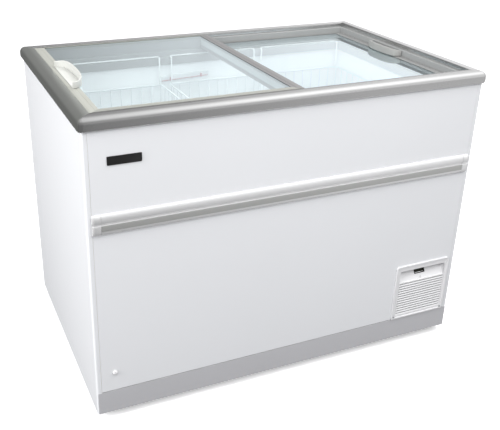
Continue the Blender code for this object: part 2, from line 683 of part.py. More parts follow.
def lid_grip(name, outer, edge_x, middle_y, half_length, depth, slide):
    """Base plate in a finger wall, bowed in plan towards the glass and arched along its top.

    edge_x is the distance of its straight edge from the lid's middle.
    """
    def bow(reach_y, reach_x):
        points = []
        for k in range(17):
            cosine, sine = math.cos(math.pi * k / 16), math.sin(math.pi * k / 16)
            along = math.copysign(abs(cosine) ** GRIP_POWER, cosine)
            points.append((outer * (edge_x - reach_x * max(sine, 0.0) ** GRIP_POWER),
                           middle_y + reach_y * along))
        return points

    bottom = LID_H + GAP
    ring = bow(half_length, depth) + bow(half_length - GRIP_WALL, depth - GRIP_WALL)[::-1]
    grip = add(name, prism(ring, "Z", bottom - 0.01, bottom + 0.04), LID_FRAME, parent=slide)
    rise = [(-half_length - 0.001, 0), (-half_length - 0.001, 0.0150),
            (-0.97 * half_length, 0.0182), (-0.90 * half_length, 0.0204),
            (-0.70 * half_length, 0.0221), (-0.40 * half_length, GRIP_H - 0.0003), (0, GRIP_H)]
    arch = rise + [(-y, z) for y, z in rise[-2::-1]]
    x_range = sorted((outer * (edge_x - depth - 0.02), outer * (edge_x + 0.02)))
    boolean(grip, "INTERSECT", [prism([(middle_y + y, bottom + z) for y, z in arch],
                                      "X", *x_range)])
    unite(grip, prism(bow(half_length - 0.0010, depth - 0.0010),
                      "Z", bottom, bottom + GRIP_PLATE))


def build_lid(tag, x0, x1, half_y, z, end_width, grip_in, **grip):
    """Glass in a four-piece frame; the end named by tag is the outer one and has the grip."""
    slide = empty(f"{tag}_lid_slide", ((x0 + x1) / 2, 0, z), cabinet)
    half_x = (x1 - x0) / 2
    inner = "right" if tag == "left" else "left"
    widths = {"front": LID_FRONT, "rear": LID_REAR, tag: end_width, inner: LID_BAR}
    for part, side, mat in (("front", "front", LID_FRAME), ("rear", "rear", LID_FRAME),
                            ("end", tag, LID_FRAME), ("overlap", inner, LID_OVERLAP)):
        lid_profile(f"{tag}_lid_{part}_profile", side, widths, half_x, half_y, mat, slide)
    inset = {side: groove_from(width) + 0.0005 for side, width in widths.items()}
    add(f"{tag}_lid_glass", box(-half_x + inset["left"], half_x - inset["right"],
                                -half_y + inset["front"], half_y - inset["rear"],
                                0.0055, 0.0091), GLASS, parent=slide)
    lid_grip(f"{tag}_lid_handle", SIGN[tag], half_x - grip_in, slide=slide, **grip)
    return slide


def build_lids():
    upper_in = RIM_IN + LID_SIDE_GAP
    lower_in = STEP_IN + LID_SIDE_GAP
    left_slide = build_lid("left", -HALF_X + upper_in, LAP_X, HALF_Y - upper_in, UPPER_Z,
                           LID_FRONT, grip_in=0.0120, middle_y=-0.0155, half_length=0.112,
                           depth=0.0370)
    build_lid("right", LAP_X - LID_BAR, HALF_X - lower_in, HALF_Y - lower_in, LOWER_Z,
              LID_END_RIGHT, grip_in=0.0030, middle_y=0.0405, half_length=0.080, depth=0.0310)
    # Brush under the upper lid's overlap profile
    brush_x = LAP_X - LID_BAR - left_slide.location.x
    add("lid_overlap_brush", box(brush_x, brush_x + 0.0040, -0.3220, 0.3220,
                                 LOWER_Z + LID_H - UPPER_Z + 0.0006, -GAP),
        BRUSH, parent=left_slide)


# ------------------------------------------------------------------ wire baskets
BASKET_X = {"left": -0.311, "centre": 0.028, "right": 0.354}
BASKET_TOP, BASKET_BOTTOM = 0.706, 0.486
RING_X, RING_Y = 0.155, 0.286      # top ring, half sizes to the wire's centre line
TAPER_X, TAPER_Y = 0.006, 0.008    # the bottom is smaller by this on each side
CELLS_X, CELLS_Y = 9, 16           # wall cells along x and y
LOOP_X = 0.149                     # half width of a hanging loop
LOOP_WIRE = 0.0026                 # wire radius


def basket_grid():
    """Open-topped box of faces, turned into wires; its origin is the middle of the top ring."""
    bm = bmesh.new()
    made = {}

    def node(u, v, bottom):
        """Shared vertex at u, v (-1 to 1) of the top (bottom=0) or the bottom (bottom=1)."""
        x, y = u * (RING_X - bottom * TAPER_X), v * (RING_Y - bottom * TAPER_Y)
        key = (round(x, 6), round(y, 6), bottom)
        if key not in made:
            made[key] = bm.verts.new((x, y, bottom * (BASKET_BOTTOM - BASKET_TOP)))
        return made[key]

    across = [-1 + 2 * i / CELLS_X for i in range(CELLS_X + 1)]
    along = [-1 + 2 * i / CELLS_Y for i in range(CELLS_Y + 1)]
    for side in (-1, 1):
        for a, b in zip(along, along[1:]):
            bm.faces.new((node(side, a, 0), node(side, b, 0), node(side, b, 1), node(side, a, 1)))
        for a, b in zip(across, across[1:]):
            bm.faces.new((node(a, side, 0), node(b, side, 0), node(b, side, 1), node(a, side, 1)))
    # Bottom cells span three wall cells in x and two in y, and take in every wall node
    for i in range(0, CELLS_Y, 2):
        v_start, v_middle, v_end = along[i:i + 3]
        for j in range(0, CELLS_X, 3):
            span = across[j:j + 4]
            ends = [span[0], span[-1]]
            start_row = span if i == 0 else ends
            end_row = span if i == CELLS_Y - 2 else ends
            cell = [node(u, v_start, 1) for u in start_row]
            if j == CELLS_X - 3:
                cell.append(node(span[-1], v_middle, 1))
            cell += [node(u, v_end, 1) for u in reversed(end_row)]
            if j == 0:
                cell.append(node(span[0], v_middle, 1))
            bm.faces.new(cell)
    return baked(from_bmesh(bm), "WIREFRAME", thickness=0.0030, use_even_offset=False,
                 use_boundary=True, use_replace=True)


def basket_loop(side):
    """Loop that rises from the front (-1) or rear (1) of the top ring and rests on the shelf."""
    z = SHELF_Z + LOOP_WIRE + GAP - BASKET_TOP
    y0, y1 = side * RING_Y, side * INNER_Y
    points = [(-LOOP_X, y0, -0.0010), (-LOOP_X, y0, z), (-LOOP_X, y1, z),
              (LOOP_X, y1, z), (LOOP_X, y0, z), (LOOP_X, y0, -0.0010)]
    return tube(bend(points, 0.0075, 1), LOOP_WIRE, 0)


def build_baskets():
    grid = basket_grid()
    corners = [(x_sign * RING_X, y_sign * RING_Y, 0) for x_sign, y_sign in CORNERS]
    ring = tube(bend(corners, 0.012, 2, cyclic=True), 0.0030, 0, cyclic=True)
    loops = [basket_loop(-1), basket_loop(1)]
    for tag, x in BASKET_X.items():
        axis = empty(f"basket_{tag}_axis", (x, 0, BASKET_TOP), cabinet)
        basket = add(f"basket_{tag}", grid.copy(), WIRE, parent=axis)
        unite(basket, ring)
        unite(basket, *loops)


def build_thermometer():
    """Bar on the liner's rear wall, hung a little out of level."""
    body = box(-0.0860, 0.0860, INNER_Y - 0.0068, INNER_Y - GAP, -0.0095, 0.0095)
    body.transform(Matrix.Translation((-0.0710, 0, 0.7240))
                   @ Matrix.Rotation(math.radians(-2.2), 4, "Y"))
    add("thermometer", body, PLASTIC)


# ------------------------------------------------------------------ machine compartment
MACHINE_X = 0.425                    # middle of compressor, condenser and fan
MACHINE_X0, MACHINE_X1 = MACHINE_X - 0.125, MACHINE_X + 0.125    # condenser and shroud
COMPRESSOR_Y = 0.165
RELAY_HALF = 0.030
CONDENSER_Y0, CONDENSER_Y1 = -0.325, -0.285
FAN_Y, FAN_Z = -0.2350, 0.176
STRUT_HALF, STRUT_BACK = 0.006, -0.2170

# (radius, z above the deck)
COMPRESSOR_PROFILE = [
    (0, 0.178), (0.034, 0.176), (0.058, 0.164), (0.070, 0.140), (0.072, 0.100), (0.0745, 0.097),
    (0.0745, 0.091), (0.072, 0.088), (0.072, 0.045), (0.060, 0.024), (0.030, 0.017), (0, 0.016)]
# (radius, z)
HUB_PROFILE = [
    (0.0180, 0.012), (0.0180, -0.008), (0.0034, -0.008), (0.0034, 0.010), (0.0140, 0.0105)]
DRIER_PROFILE = [
    (0, 0.060), (0.0035, 0.060), (0.0035, 0.050), (0.0105, 0.042),
    (0.0105, -0.042), (0.0035, -0.050), (0.0035, -0.060), (0, -0.060)]


def build_compressor():
    compressor = add("compressor", lathe(COMPRESSOR_PROFILE, 20, "Z",
                                         (MACHINE_X, COMPRESSOR_Y, DECK_Z)), BLACK)
    unite(compressor, centred_box(0.085, 0.055, DECK_Z + 0.0110, DECK_Z + 0.0220,
                                  MACHINE_X, COMPRESSOR_Y))
    feet = [(MACHINE_X + x_sign * 0.070, COMPRESSOR_Y + y_sign * 0.042)
            for x_sign, y_sign in CORNERS]
    unite(compressor, *[cylinder(0.011, DECK_Z, DECK_Z + 0.0140, "Z", foot, 10) for foot in feet])
    smooth(compressor)
    add("relay_box", box(MACHINE_X - RELAY_HALF, MACHINE_X + RELAY_HALF,
                         0.070, COMPRESSOR_Y - 0.0747, DECK_Z + 0.050, DECK_Z + 0.105), BLACK)


def build_condenser():
    """Block with upright grooves front and rear, and return bends at both ends."""
    condenser = add("condenser_coil", box(MACHINE_X0, MACHINE_X1, CONDENSER_Y0, CONDENSER_Y1,
                                          DECK_Z, DECK_Z + 0.200), STEEL)
    cut(condenser, *[box(x, x + 0.0060, y - 0.007, y + 0.007, DECK_Z + 0.006, DECK_Z + 0.194)
                     for x in [0.3080 + 0.0146 * i for i in range(17)]
                     for y in (CONDENSER_Y0, CONDENSER_Y1)])
    y, rise = (CONDENSER_Y0 + CONDENSER_Y1) / 2, 0.025
    returns = []
    for side, first_z in ((-1, DECK_Z + 0.030), (1, DECK_Z + 0.030 + rise)):
        x = MACHINE_X + side * 0.1246
        x_in, x_out = x - side * 0.004, x + side * 0.013
        for i in range(3):
            z = first_z + 2 * rise * i
            points = [(x_in, y, z), (x_out, y, z), (x_out, y, z + rise), (x_in, y, z + rise)]
            returns.append(tube(bend(points, 0.0115, 3), 0.0040, 0))
    unite(condenser, *returns)


def build_fan():
    shroud = add("fan_shroud", box(MACHINE_X0, MACHINE_X1, -0.2560, -0.2540,
                                   DECK_Z, DECK_Z + 0.205), STEEL)
    unite(shroud, box(MACHINE_X0, MACHINE_X1, -0.2550, -0.2350, DECK_Z, DECK_Z + 0.0020))
    cut(shroud, cylinder(0.088, -0.30, -0.20, "Y", (MACHINE_X, FAN_Z), 24))
    # Foot and upright of the motor strut
    strut_x = (MACHINE_X - STRUT_HALF, MACHINE_X + STRUT_HALF)
    unite(shroud, box(*strut_x, -0.2370, STRUT_BACK, DECK_Z, DECK_Z + 0.0020))
    unite(shroud, box(*strut_x, -0.2200, STRUT_BACK, DECK_Z + 0.001, FAN_Z - 0.020))

    motor = add("fan_motor", cylinder(0.0300, -0.2165, -0.1700, "Y", (MACHINE_X, FAN_Z), 20),
                BLACK)
    unite(motor, cylinder(0.0030, -0.2420, -0.2160, "Y", (MACHINE_X, FAN_Z), 12))

    axis = empty("fan_axis", (MACHINE_X, FAN_Y, FAN_Z), cabinet)
    fan = add("fan_blade", lathe(HUB_PROFILE, 20, "Y", closed=True), BLACK, parent=axis)
    blades = []
    for i in range(5):
        blade = box(0.0150, 0.0800, -0.0011, 0.0011, -0.0220, 0.0220)
        blade.transform(Matrix.Rotation(2 * math.pi * i / 5, 4, "Y")
                        @ Matrix.Rotation(math.radians(24), 4, "X"))
        blades.append(blade)
    unite(fan, *blades)


def build_pipework():
    add("filter_drier", lathe(DRIER_PROFILE, 12, "Z", (0.545, 0.060, DECK_Z + 0.110)), COPPER)
    path = [(MACHINE_X + 0.0735, 0.190, DECK_Z + 0.150), (0.530, 0.190, DECK_Z + 0.150),
            (0.560, 0.150, DECK_Z + 0.180), (0.560, -0.150, DECK_Z + 0.190),
            (0.560, -0.300, DECK_Z + 0.190)]
    add("discharge_pipe", tube(bend(path, 0.015, 2), 0.0032), COPPER)


def build_evaporator():
    """Four turns of tube wound up round the liner, in the cavity between liner and foam."""
    turns, pitch, bottom, clear = 4, 0.076, 0.400, 0.0051
    x, y = INNER_X + clear, INNER_Y + clear
    path = []
    for i in range(4 * turns):
        x_sign, y_sign = CORNERS[i % 4]
        path.append((x_sign * x, y_sign * y, bottom + pitch * i / 4))
    # Both ends stop short of their left-hand corner
    for end in (0, -1):
        path[end] = (path[end][0] + 0.050, *path[end][1:])
    add("evaporator_tube", tube(bend(path, 0.0148, 3), 0.0029, 0), COPPER)


def build_power_cord():
    """From the relay box through the rear panel, up and over to a hanging plug."""
    terminal_y, terminal_z = 0.081, DECK_Z + 0.070
    back_y = HALF_Y + 0.0046
    plug_x = 0.300
    # x, y, z, bend radius
    route = [
        (MACHINE_X + RELAY_HALF + 0.0004, terminal_y, terminal_z, 0),
        (0.500, terminal_y, terminal_z, 0.015),
        (0.528, 0.110, DECK_Z + 0.030, 0.02),
        (0.528, 0.300, CORD_Z, 0.02),
        (CORD_X, 0.345, CORD_Z, 0.02),
        (CORD_X, back_y, CORD_Z, 0.0042),
        (CORD_X, back_y, 0.250, 0.05),
        (0.440, back_y, 0.400, 0.05),
        (plug_x, back_y, 0.400, 0.05),
        (plug_x, back_y, 0.300, 0.02),
        (plug_x, back_y, 0.285, 0)]
    path = bend([stop[:3] for stop in route], [stop[3] for stop in route], 3)
    cord = add("power_cord", tube(path, 0.0038), BLACK)
    # (x from the plug's middle, z)
    plug = [(-0.016, 0.240), (0.016, 0.240), (0.018, 0.262), (0.007, 0.290), (-0.007, 0.290),
            (-0.018, 0.262)]
    unite(cord, prism([(plug_x + x, z) for x, z in plug], "Y", HALF_Y + 0.0005, HALF_Y + 0.0145))


# ------------------------------------------------------------------ castors
WHEEL_R, CASTOR_TRAIL = 0.0315, 0.028
SWIVEL_Z = BASE_PLATE_BOTTOM - GAP
AXLE_Z = WHEEL_R - SKIRT_GAP - SWIVEL_Z      # below the swivel
# (radius, z): tread, then the faces and the bore
WHEEL_PROFILE = [
    (WHEEL_R - 0.0020, 0.0110), (WHEEL_R, 0.0080), (WHEEL_R, -0.0080),
    (WHEEL_R - 0.0020, -0.0110), (0.0220, -0.0100), (0.0100, -0.0115),
    (0.0046, -0.0115), (0.0046, 0.0115), (0.0100, 0.0115), (0.0220, 0.0100)]


def build_castor(x_sign, y_sign):
    end, side = "front" if y_sign < 0 else "rear", "left" if x_sign < 0 else "right"
    name = f"castor_{end}_{side}"
    trail = -y_sign * CASTOR_TRAIL          # towards the middle of the cabinet
    swivel = empty(f"{name}_swivel", (x_sign * CASTOR_X, y_sign * CASTOR_Y, SWIVEL_Z), cabinet)
    fork = add(f"{name}_fork", cylinder(0.0210, -0.0040, 0.0, "Z", (0, 0), 16), STEEL,
               parent=swivel)
    unite(fork, cylinder(0.0060, -0.0030, 0.0047, "Z", (0, 0), 12))
    leg = [(-0.016, -0.0010), (0.016, -0.0010), (trail + 0.0085, AXLE_Z - 0.004),
           (trail, AXLE_Z - 0.0095), (trail - 0.0085, AXLE_Z - 0.004)]
    unite(fork, prism(leg, "X", -0.0155, -0.0130), prism(leg, "X", 0.0130, 0.0155))
    unite(fork, cylinder(0.0040, -0.0180, 0.0180, "X", (trail, AXLE_Z), 12))
    axle = empty(f"{name}_axle", (0, trail, AXLE_Z), swivel)
    smooth(add(f"{name}_wheel", lathe(WHEEL_PROFILE, 18, "X", closed=True), RUBBER, parent=axle))


# ------------------------------------------------------------------ assembly
build_base()
build_side_panels()
build_front_panel()
build_rear_panel()
build_kick_plate()
build_foam()
build_liner()
build_drain()
for rim_side in SIGN:
    build_rim(rim_side)
build_collar()
build_bumper()
build_badge()
build_grille()
build_controls()
build_lids()
build_baskets()
build_thermometer()
build_compressor()
build_condenser()
build_fan()
build_pipework()
build_evaporator()
build_power_cord()
for corner in CORNERS:
    build_castor(*corner)

bpy.context.view_layer.update()
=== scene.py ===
"""Refrigerated chest cabinet on castors, with two sliding glass lids over three wire baskets.

All pieces are drawn in the cabinet's own frame, in metres: x runs from left to right, the front
faces -y, z is up, and the origin is the middle of the footprint at the kick plate's underside.
"""
import math
from itertools import product

import bmesh
import bpy
from mathutils import Matrix, Vector


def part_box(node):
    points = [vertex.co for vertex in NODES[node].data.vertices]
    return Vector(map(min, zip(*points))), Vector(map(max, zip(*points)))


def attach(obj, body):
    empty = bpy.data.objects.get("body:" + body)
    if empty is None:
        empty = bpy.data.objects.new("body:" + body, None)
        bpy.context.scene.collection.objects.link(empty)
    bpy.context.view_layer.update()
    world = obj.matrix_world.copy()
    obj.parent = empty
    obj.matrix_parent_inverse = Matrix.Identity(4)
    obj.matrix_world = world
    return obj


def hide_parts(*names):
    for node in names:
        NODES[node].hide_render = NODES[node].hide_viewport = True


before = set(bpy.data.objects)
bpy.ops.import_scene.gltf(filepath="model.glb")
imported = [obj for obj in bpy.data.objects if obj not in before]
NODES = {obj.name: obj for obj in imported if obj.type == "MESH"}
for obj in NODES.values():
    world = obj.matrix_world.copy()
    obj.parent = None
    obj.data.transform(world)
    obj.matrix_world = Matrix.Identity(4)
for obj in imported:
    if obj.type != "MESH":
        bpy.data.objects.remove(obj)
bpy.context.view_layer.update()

# ---------------------------------------------------------------- driving dimensions
front_lo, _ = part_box("front_panel")
_, rear_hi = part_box("rear_panel")
kick_lo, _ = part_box("kick_plate")
side_lo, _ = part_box("left_side_panel")
_, side_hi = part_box("right_side_panel")
HX = (side_hi.x - side_lo.x) / 2  # half width of the cabinet
HY = (rear_hi.y - front_lo.y) / 2  # half depth
FRONT = -HY
ORIGIN = Vector(((side_hi.x + side_lo.x) / 2, (rear_hi.y + front_lo.y) / 2, kick_lo.z))

GAP = 0.0003  # clearance between touching pieces
RIM_INSET, LINER_INSET = 0.0295, 0.0650
UPPER_LEDGE, LOWER_LEDGE, SHELF_Z = 0.8365, 0.8070, 0.7925
LID_HEIGHT, GRIP_HEIGHT = 0.0105, 0.0232
PAN_Z = 0.0685
PAN_UNDERSIDE = PAN_Z - 0.0050

LEFT_RIGHT = (("left", -1), ("right", 1))
SIDE_SIGN = {"front": -1, "rear": 1, "left": -1, "right": 1}


# ---------------------------------------------------------------- outlines and paths
def arc(x, y, radius, start, end, steps):
    """Points of an arc; angles in degrees."""
    turns = [math.radians(start + (end - start) * i / steps) for i in range(steps + 1)]
    return [(x + radius * math.cos(turn), y + radius * math.sin(turn)) for turn in turns]


def hexagon(radius, x=0, y=0):
    return arc(x, y, radius, 0, 300, 5)


def rounded_rectangle(x0, x1, z0, z1, radii, steps):
    """Corner radii run anticlockwise from the corner at (x0, z0)."""
    r0, r1, r2, r3 = radii
    return [*arc(x0 + r0, z0 + r0, r0, 180, 270, steps),
            *arc(x1 - r1, z0 + r1, r1, 270, 360, steps),
            *arc(x1 - r2, z1 - r2, r2, 0, 90, steps),
            *arc(x0 + r3, z1 - r3, r3, 90, 180, steps)]


def inset(rectangle, margin):
    x0, x1, z0, z1 = rectangle
    return x0 + margin, x1 - margin, z0 + margin, z1 - margin


def shifted(points, x, y):
    return [(x + a, y + b) for a, b in points]


def mirrored(half, middle=()):
    """A turned profile of (radius, z) followed by its mirror image below z = 0."""
    return [*half, *middle, *[(r, -z) for r, z in reversed(half)]]


def thicken(path, thickness):
    """Closed outline of a strip along an open path (positive thickness: to its right)."""
    points = [Vector(p) for p in path]
    runs = [(b - a).normalized() for a, b in zip(points, points[1:])]
    normals = [Vector((run.y, -run.x)) for run in runs]
    offset = []
    for i, point in enumerate(points):
        near = normals[max(i - 1, 0):i + 1]
        mitre = sum(near, Vector((0, 0))).normalized()
        offset.append(tuple(point + mitre * (thickness / max(mitre.dot(near[0]), 0.2))))
    return list(map(tuple, path)) + offset[::-1]


def bend(points, radius, steps=5, cyclic=False):
    """Path with its corners rounded; radius is one value or one per point."""
    points = [Vector(p) for p in points]
    count = len(points)
    out = []
    for i, point in enumerate(points):
        r = radius[i] if isinstance(radius, (list, tuple)) else radius
        if (not cyclic and i in (0, count - 1)) or r <= 0:
            out.append(point)
            continue
        before, after = points[i - 1], points[(i + 1) % count]
        u, v = (before - point).normalized(), (after - point).normalized()
        half = u.angle(v) / 2
        if half > math.radians(89):
            out.append(point)
            continue
        trim = min(r / math.tan(half), (before - point).length * 0.49,
                   (after - point).length * 0.49)
        centre = point + (u + v).normalized() * (trim * math.tan(half) / math.sin(half))
        start, end = point + u * trim - centre, point + v * trim - centre
        sweep = start.angle(end)
        for k in range(steps + 1):
            t = k / steps
            spoke = start * math.sin((1 - t) * sweep) + end * math.sin(t * sweep)
            out.append(centre + spoke / math.sin(sweep))
    return out


def bend_flat(points, radius, steps):
    return [(p.x, p.y) for p in bend([(a, b, 0) for a, b in points], radius, steps)]


def side_point(side, along, outward, z):
    """Point at a distance along a named side and a distance outward from the middle."""
    across = SIDE_SIGN[side] * outward
    return (along, across, z) if side in ("front", "rear") else (across, along, z)


# ---------------------------------------------------------------- meshes
def smooth(mesh, angle):
    mesh.shade_smooth()
    mesh.set_sharp_from_angle(angle=math.radians(angle))


def finish_mesh(bm, angle):
    """Mesh with edges sharper than the angle (degrees) kept sharp; an angle of 0 leaves it flat."""
    bmesh.ops.remove_doubles(bm, verts=bm.verts, dist=1e-7)
    bmesh.ops.recalc_face_normals(bm, faces=bm.faces)
    mesh = bpy.data.meshes.new("piece")
    bm.to_mesh(mesh)
    bm.free()
    if angle:
        smooth(mesh, angle)
    return mesh


def loft(rings, angle=30, closed=False):
    """Skin over a row of rings, capped at its ends or closed on itself."""
    bm = bmesh.new()
    rows = [[bm.verts.new(p) for p in ring] for ring in rings]
    count = len(rings[0])
    pairs = list(zip(rows, rows[1:])) + ([(rows[-1], rows[0])] if closed else [])
    for a, b in pairs:
        for j in range(count):
            bm.faces.new((a[j], b[j], b[(j + 1) % count], a[(j + 1) % count]))
    if not closed:
        bm.faces.new(rows[0])
        bm.faces.new(rows[-1])
    return finish_mesh(bm, angle)


def filled_outline(rings):
    """Flat mesh in XY; rings after the first are holes. A 2D curve does the filling."""
    curve = bpy.data.curves.new("outline", "CURVE")
    curve.dimensions = "2D"
    curve.fill_mode = "BOTH"
    for ring in rings:
        spline = curve.splines.new("POLY")
        spline.points.add(len(ring) - 1)
        for point, (x, y) in zip(spline.points, ring):
            point.co = (x, y, 0, 1)
        spline.use_cyclic_u = True
    ob = bpy.data.objects.new("outline", curve)
    bpy.context.scene.collection.objects.link(ob)
    mesh = evaluated_mesh(ob)
    bpy.data.objects.remove(ob, do_unlink=True)
    bpy.data.curves.remove(curve)
    return mesh


def evaluated_mesh(ob):
    bpy.context.view_layer.update()
    depsgraph = bpy.context.evaluated_depsgraph_get()
    return bpy.data.meshes.new_from_object(ob.evaluated_get(depsgraph))


def prism(points, axis, lo, hi, holes=(), bevel=0.0, segs=2, angle=18):
    """Outline extruded from lo to hi along X: (y, z) points; Y: (x, z); or Z: (x, y)."""
    flat = filled_outline((points, *holes))
    bm = bmesh.new()
    bm.from_mesh(flat)
    bpy.data.meshes.remove(flat)
    bmesh.ops.remove_doubles(bm, verts=bm.verts, dist=1e-6)
    inner_edges = [e for e in bm.edges if len(e.link_faces) == 2]
    bmesh.ops.dissolve_limit(bm, angle_limit=0.001, verts=bm.verts, edges=inner_edges)
    top = bmesh.ops.extrude_face_region(bm, geom=list(bm.faces))["geom"]
    top_verts = [g for g in top if isinstance(g, bmesh.types.BMVert)]
    bmesh.ops.translate(bm, vec=(0, 0, hi - lo), verts=top_verts)
    for vert in bm.verts:
        u, w, t = vert.co
        t += lo
        vert.co = {"X": (t, u, w), "Y": (u, t, w), "Z": (u, w, t)}[axis]
    bmesh.ops.recalc_face_normals(bm, faces=bm.faces)
    if bevel:
        edges = [e for e in bm.edges
                 if len(e.link_faces) == 2 and e.calc_face_angle(0) > math.radians(30)]
        bmesh.ops.bevel(bm, geom=edges, offset=bevel, segments=segs, profile=0.5,
                        affect="EDGES", clamp_overlap=True)
    return finish_mesh(bm, angle)


def box(x0, x1, y0, y1, z0, z1, bevel=0.0, segs=2, angle=18):
    bm = bmesh.new()
    bmesh.ops.create_cube(bm, size=1.0)
    bmesh.ops.scale(bm, vec=(x1 - x0, y1 - y0, z1 - z0), verts=bm.verts)
    centre = ((x0 + x1) / 2, (y0 + y1) / 2, (z0 + z1) / 2)
    bmesh.ops.translate(bm, vec=centre, verts=bm.verts)
    if bevel:
        bmesh.ops.bevel(bm, geom=bm.edges[:], offset=bevel, segments=segs, profile=0.5,
                        affect="EDGES")
    return finish_mesh(bm, angle)


def merged(meshes, angle=0):
    """Several meshes in one; an angle of 0 keeps their own shading."""
    bm = bmesh.new()
    for part in meshes:
        bm.from_mesh(part)
    mesh = bpy.data.meshes.new("piece")
    bm.to_mesh(mesh)
    bm.free()
    if angle:
        smooth(mesh, angle)
    return mesh


# Turns a piece's z axis to +x, or to the front (-y)
AXES = {"Z": Matrix.Identity(4),
        "X": Matrix.Rotation(math.pi / 2, 4, "Y"),
        "Y": Matrix.Rotation(math.pi / 2, 4, "X")}


def lathe(profile, segs=32, axis="Z", at=(0, 0, 0)):
    """Profile of (radius, z) turned about an axis; a point at radius 0 closes the end."""
    bm = bmesh.new()
    rows = []
    for r, z in profile:
        if r < 1e-6:
            rows.append([bm.verts.new((0, 0, z))])
        else:
            turns = [2 * math.pi * i / segs for i in range(segs)]
            rows.append([bm.verts.new((r * math.cos(t), r * math.sin(t), z)) for t in turns])
    pairs = list(zip(rows, rows[1:]))
    if len(rows[0]) > 1 and len(rows[-1]) > 1:
        pairs.append((rows[-1], rows[0]))
    for a, b in pairs:
        for i in range(segs):
            j = (i + 1) % segs
            if len(a) == 1:
                bm.faces.new((a[0], b[i], b[j]))
            elif len(b) == 1:
                bm.faces.new((a[i], b[0], a[j]))
            else:
                bm.faces.new((a[i], b[i], b[j], a[j]))
    bmesh.ops.transform(bm, matrix=Matrix.Translation(at) @ AXES[axis], verts=bm.verts)
    return finish_mesh(bm, 35)


def tube(points, radius, segs=10, cyclic=False):
    """Round wire along a polyline, its sections carried along without twist; ends are domed."""
    points = [Vector(p) for p in points]
    count = len(points)
    tangents = []
    for i in range(count):
        if cyclic:
            run = points[(i + 1) % count] - points[i - 1]
        else:
            run = points[min(i + 1, count - 1)] - points[max(i - 1, 0)]
        tangents.append(run.normalized())
    first = tangents[0]
    reference = Vector((0, 0, 1)) if abs(first.z) < 0.9 else Vector((1, 0, 0))
    normal = (reference - first * reference.dot(first)).normalized()
    frames = [(normal, first.cross(normal))]
    for before, tangent in zip(tangents, tangents[1:]):
        normal = before.rotation_difference(tangent) @ normal
        normal = (normal - tangent * normal.dot(tangent)).normalized()
        frames.append((normal, tangent.cross(normal)))
    twist = 0.0
    if cyclic:  # spread the mismatch at the join over the whole ring
        back = tangents[-1].rotation_difference(first) @ frames[-1][0]
        twist = math.atan2(back.dot(frames[0][1]), back.dot(frames[0][0]))
    bm = bmesh.new()
    rows = []

    def add_ring(i, centre, size, turn=0.0):
        a, b = frames[i]
        angles = [2 * math.pi * k / segs + turn for k in range(segs)]
        rows.append([bm.verts.new(centre + a * (size * math.cos(t)) + b * (size * math.sin(t)))
                     for t in angles])

    for i, point in enumerate(points):
        if not cyclic and i == 0:
            add_ring(0, point, radius * 0.7)
            add_ring(0, point + first * radius * 0.3, radius)
        elif not cyclic and i == count - 1:
            add_ring(i, point - tangents[i] * radius * 0.3, radius)
            add_ring(i, point, radius * 0.7)
        else:
            arriving = (point - points[i - 1]).normalized()
            leaving = (points[(i + 1) % count] - point).normalized()
            widening = 1 / max(math.sqrt((1 + arriving.dot(leaving)) / 2), 0.5)
            add_ring(i, point, radius * (1 + (widening - 1) * 0.5), -twist * i / count)
    total = len(rows)
    for i in range(total if cyclic else total - 1):
        p, q = rows[i], rows[(i + 1) % total]
        for k in range(segs):
            bm.faces.new((p[k], p[(k + 1) % segs], q[(k + 1) % segs], q[k]))
    if not cyclic:
        bm.faces.new(rows[0])
        bm.faces.new(rows[-1])
    return finish_mesh(bm, 60)


def cut(mesh, cutter):
    """The first closed mesh less the second."""
    pair = [bpy.data.objects.new("cut", m) for m in (mesh, cutter)]
    for ob in pair:
        bpy.context.scene.collection.objects.link(ob)
    modifier = pair[0].modifiers.new("cut", "BOOLEAN")
    modifier.operation = "DIFFERENCE"
    modifier.object = pair[1]
    modifier.solver = "EXACT"
    result = evaluated_mesh(pair[0])
    for ob in pair:
        bpy.data.objects.remove(ob, do_unlink=True)
    bm = bmesh.new()
    bm.from_mesh(result)
    bpy.data.meshes.remove(result)
    return finish_mesh(bm, 30)


def moved(mesh, matrix):
    mesh.transform(matrix)
    return mesh


def cad_mesh(node):
    """A copy of a CAD node's mesh in the cabinet's own frame."""
    mesh = NODES[node].data.copy()
    mesh.materials.clear()
    return moved(mesh, Matrix.Translation(-ORIGIN) @ NODES[node].matrix_world)


def set_material(mesh, material):
    mesh.materials.clear()
    mesh.materials.append(material)


def place(name, mesh, material, cad_node, body="cabinet", at=(0, 0, 0)):
    """Object that rides on a body and stands in for a CAD node."""
    mesh.name = name
    ob = bpy.data.objects.new(name, mesh)
    bpy.context.scene.collection.objects.link(ob)
    ob.location = ORIGIN + Vector(at)
    set_material(mesh, material)
    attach(ob, body)
    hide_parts(cad_node)
    return ob


def paint_faces(ob, material, chosen):
    """A second material on the faces whose centre passes the test."""
    ob.data.materials.append(material)
    for face in ob.data.polygons:
        if chosen(face.center):
            face.material_index = 1


# ---------------------------------------------------------------- shader helpers
MIX_FACTOR, MIX_A, MIX_B, MIX_COLOR = 0, 6, 7, 2  # sockets of a colour Mix node


def blank_tree(owner, output_kind):
    """Emptied node tree and the surface socket of its new output."""
    owner.use_nodes = True
    owner.node_tree.nodes.clear()
    return owner.node_tree, owner.node_tree.nodes.new(output_kind).inputs[0]


def add(tree, kind, inputs=None, output=0, **settings):
    """New shader node; inputs are values or sockets to link. Gives one of its outputs."""
    node = tree.nodes.new("ShaderNode" + kind)
    for key, value in settings.items():
        setattr(node, key, value)
    for key, value in (inputs or {}).items():
        if isinstance(value, bpy.types.NodeSocket):
            tree.links.new(value, node.inputs[key])
        else:
            node.inputs[key].default_value = value
    return node.outputs[output]


def noise(tree, vector, scale, detail):
    return add(tree, "TexNoise", {"Scale": scale, "Detail": detail, "Vector": vector}, "Fac")


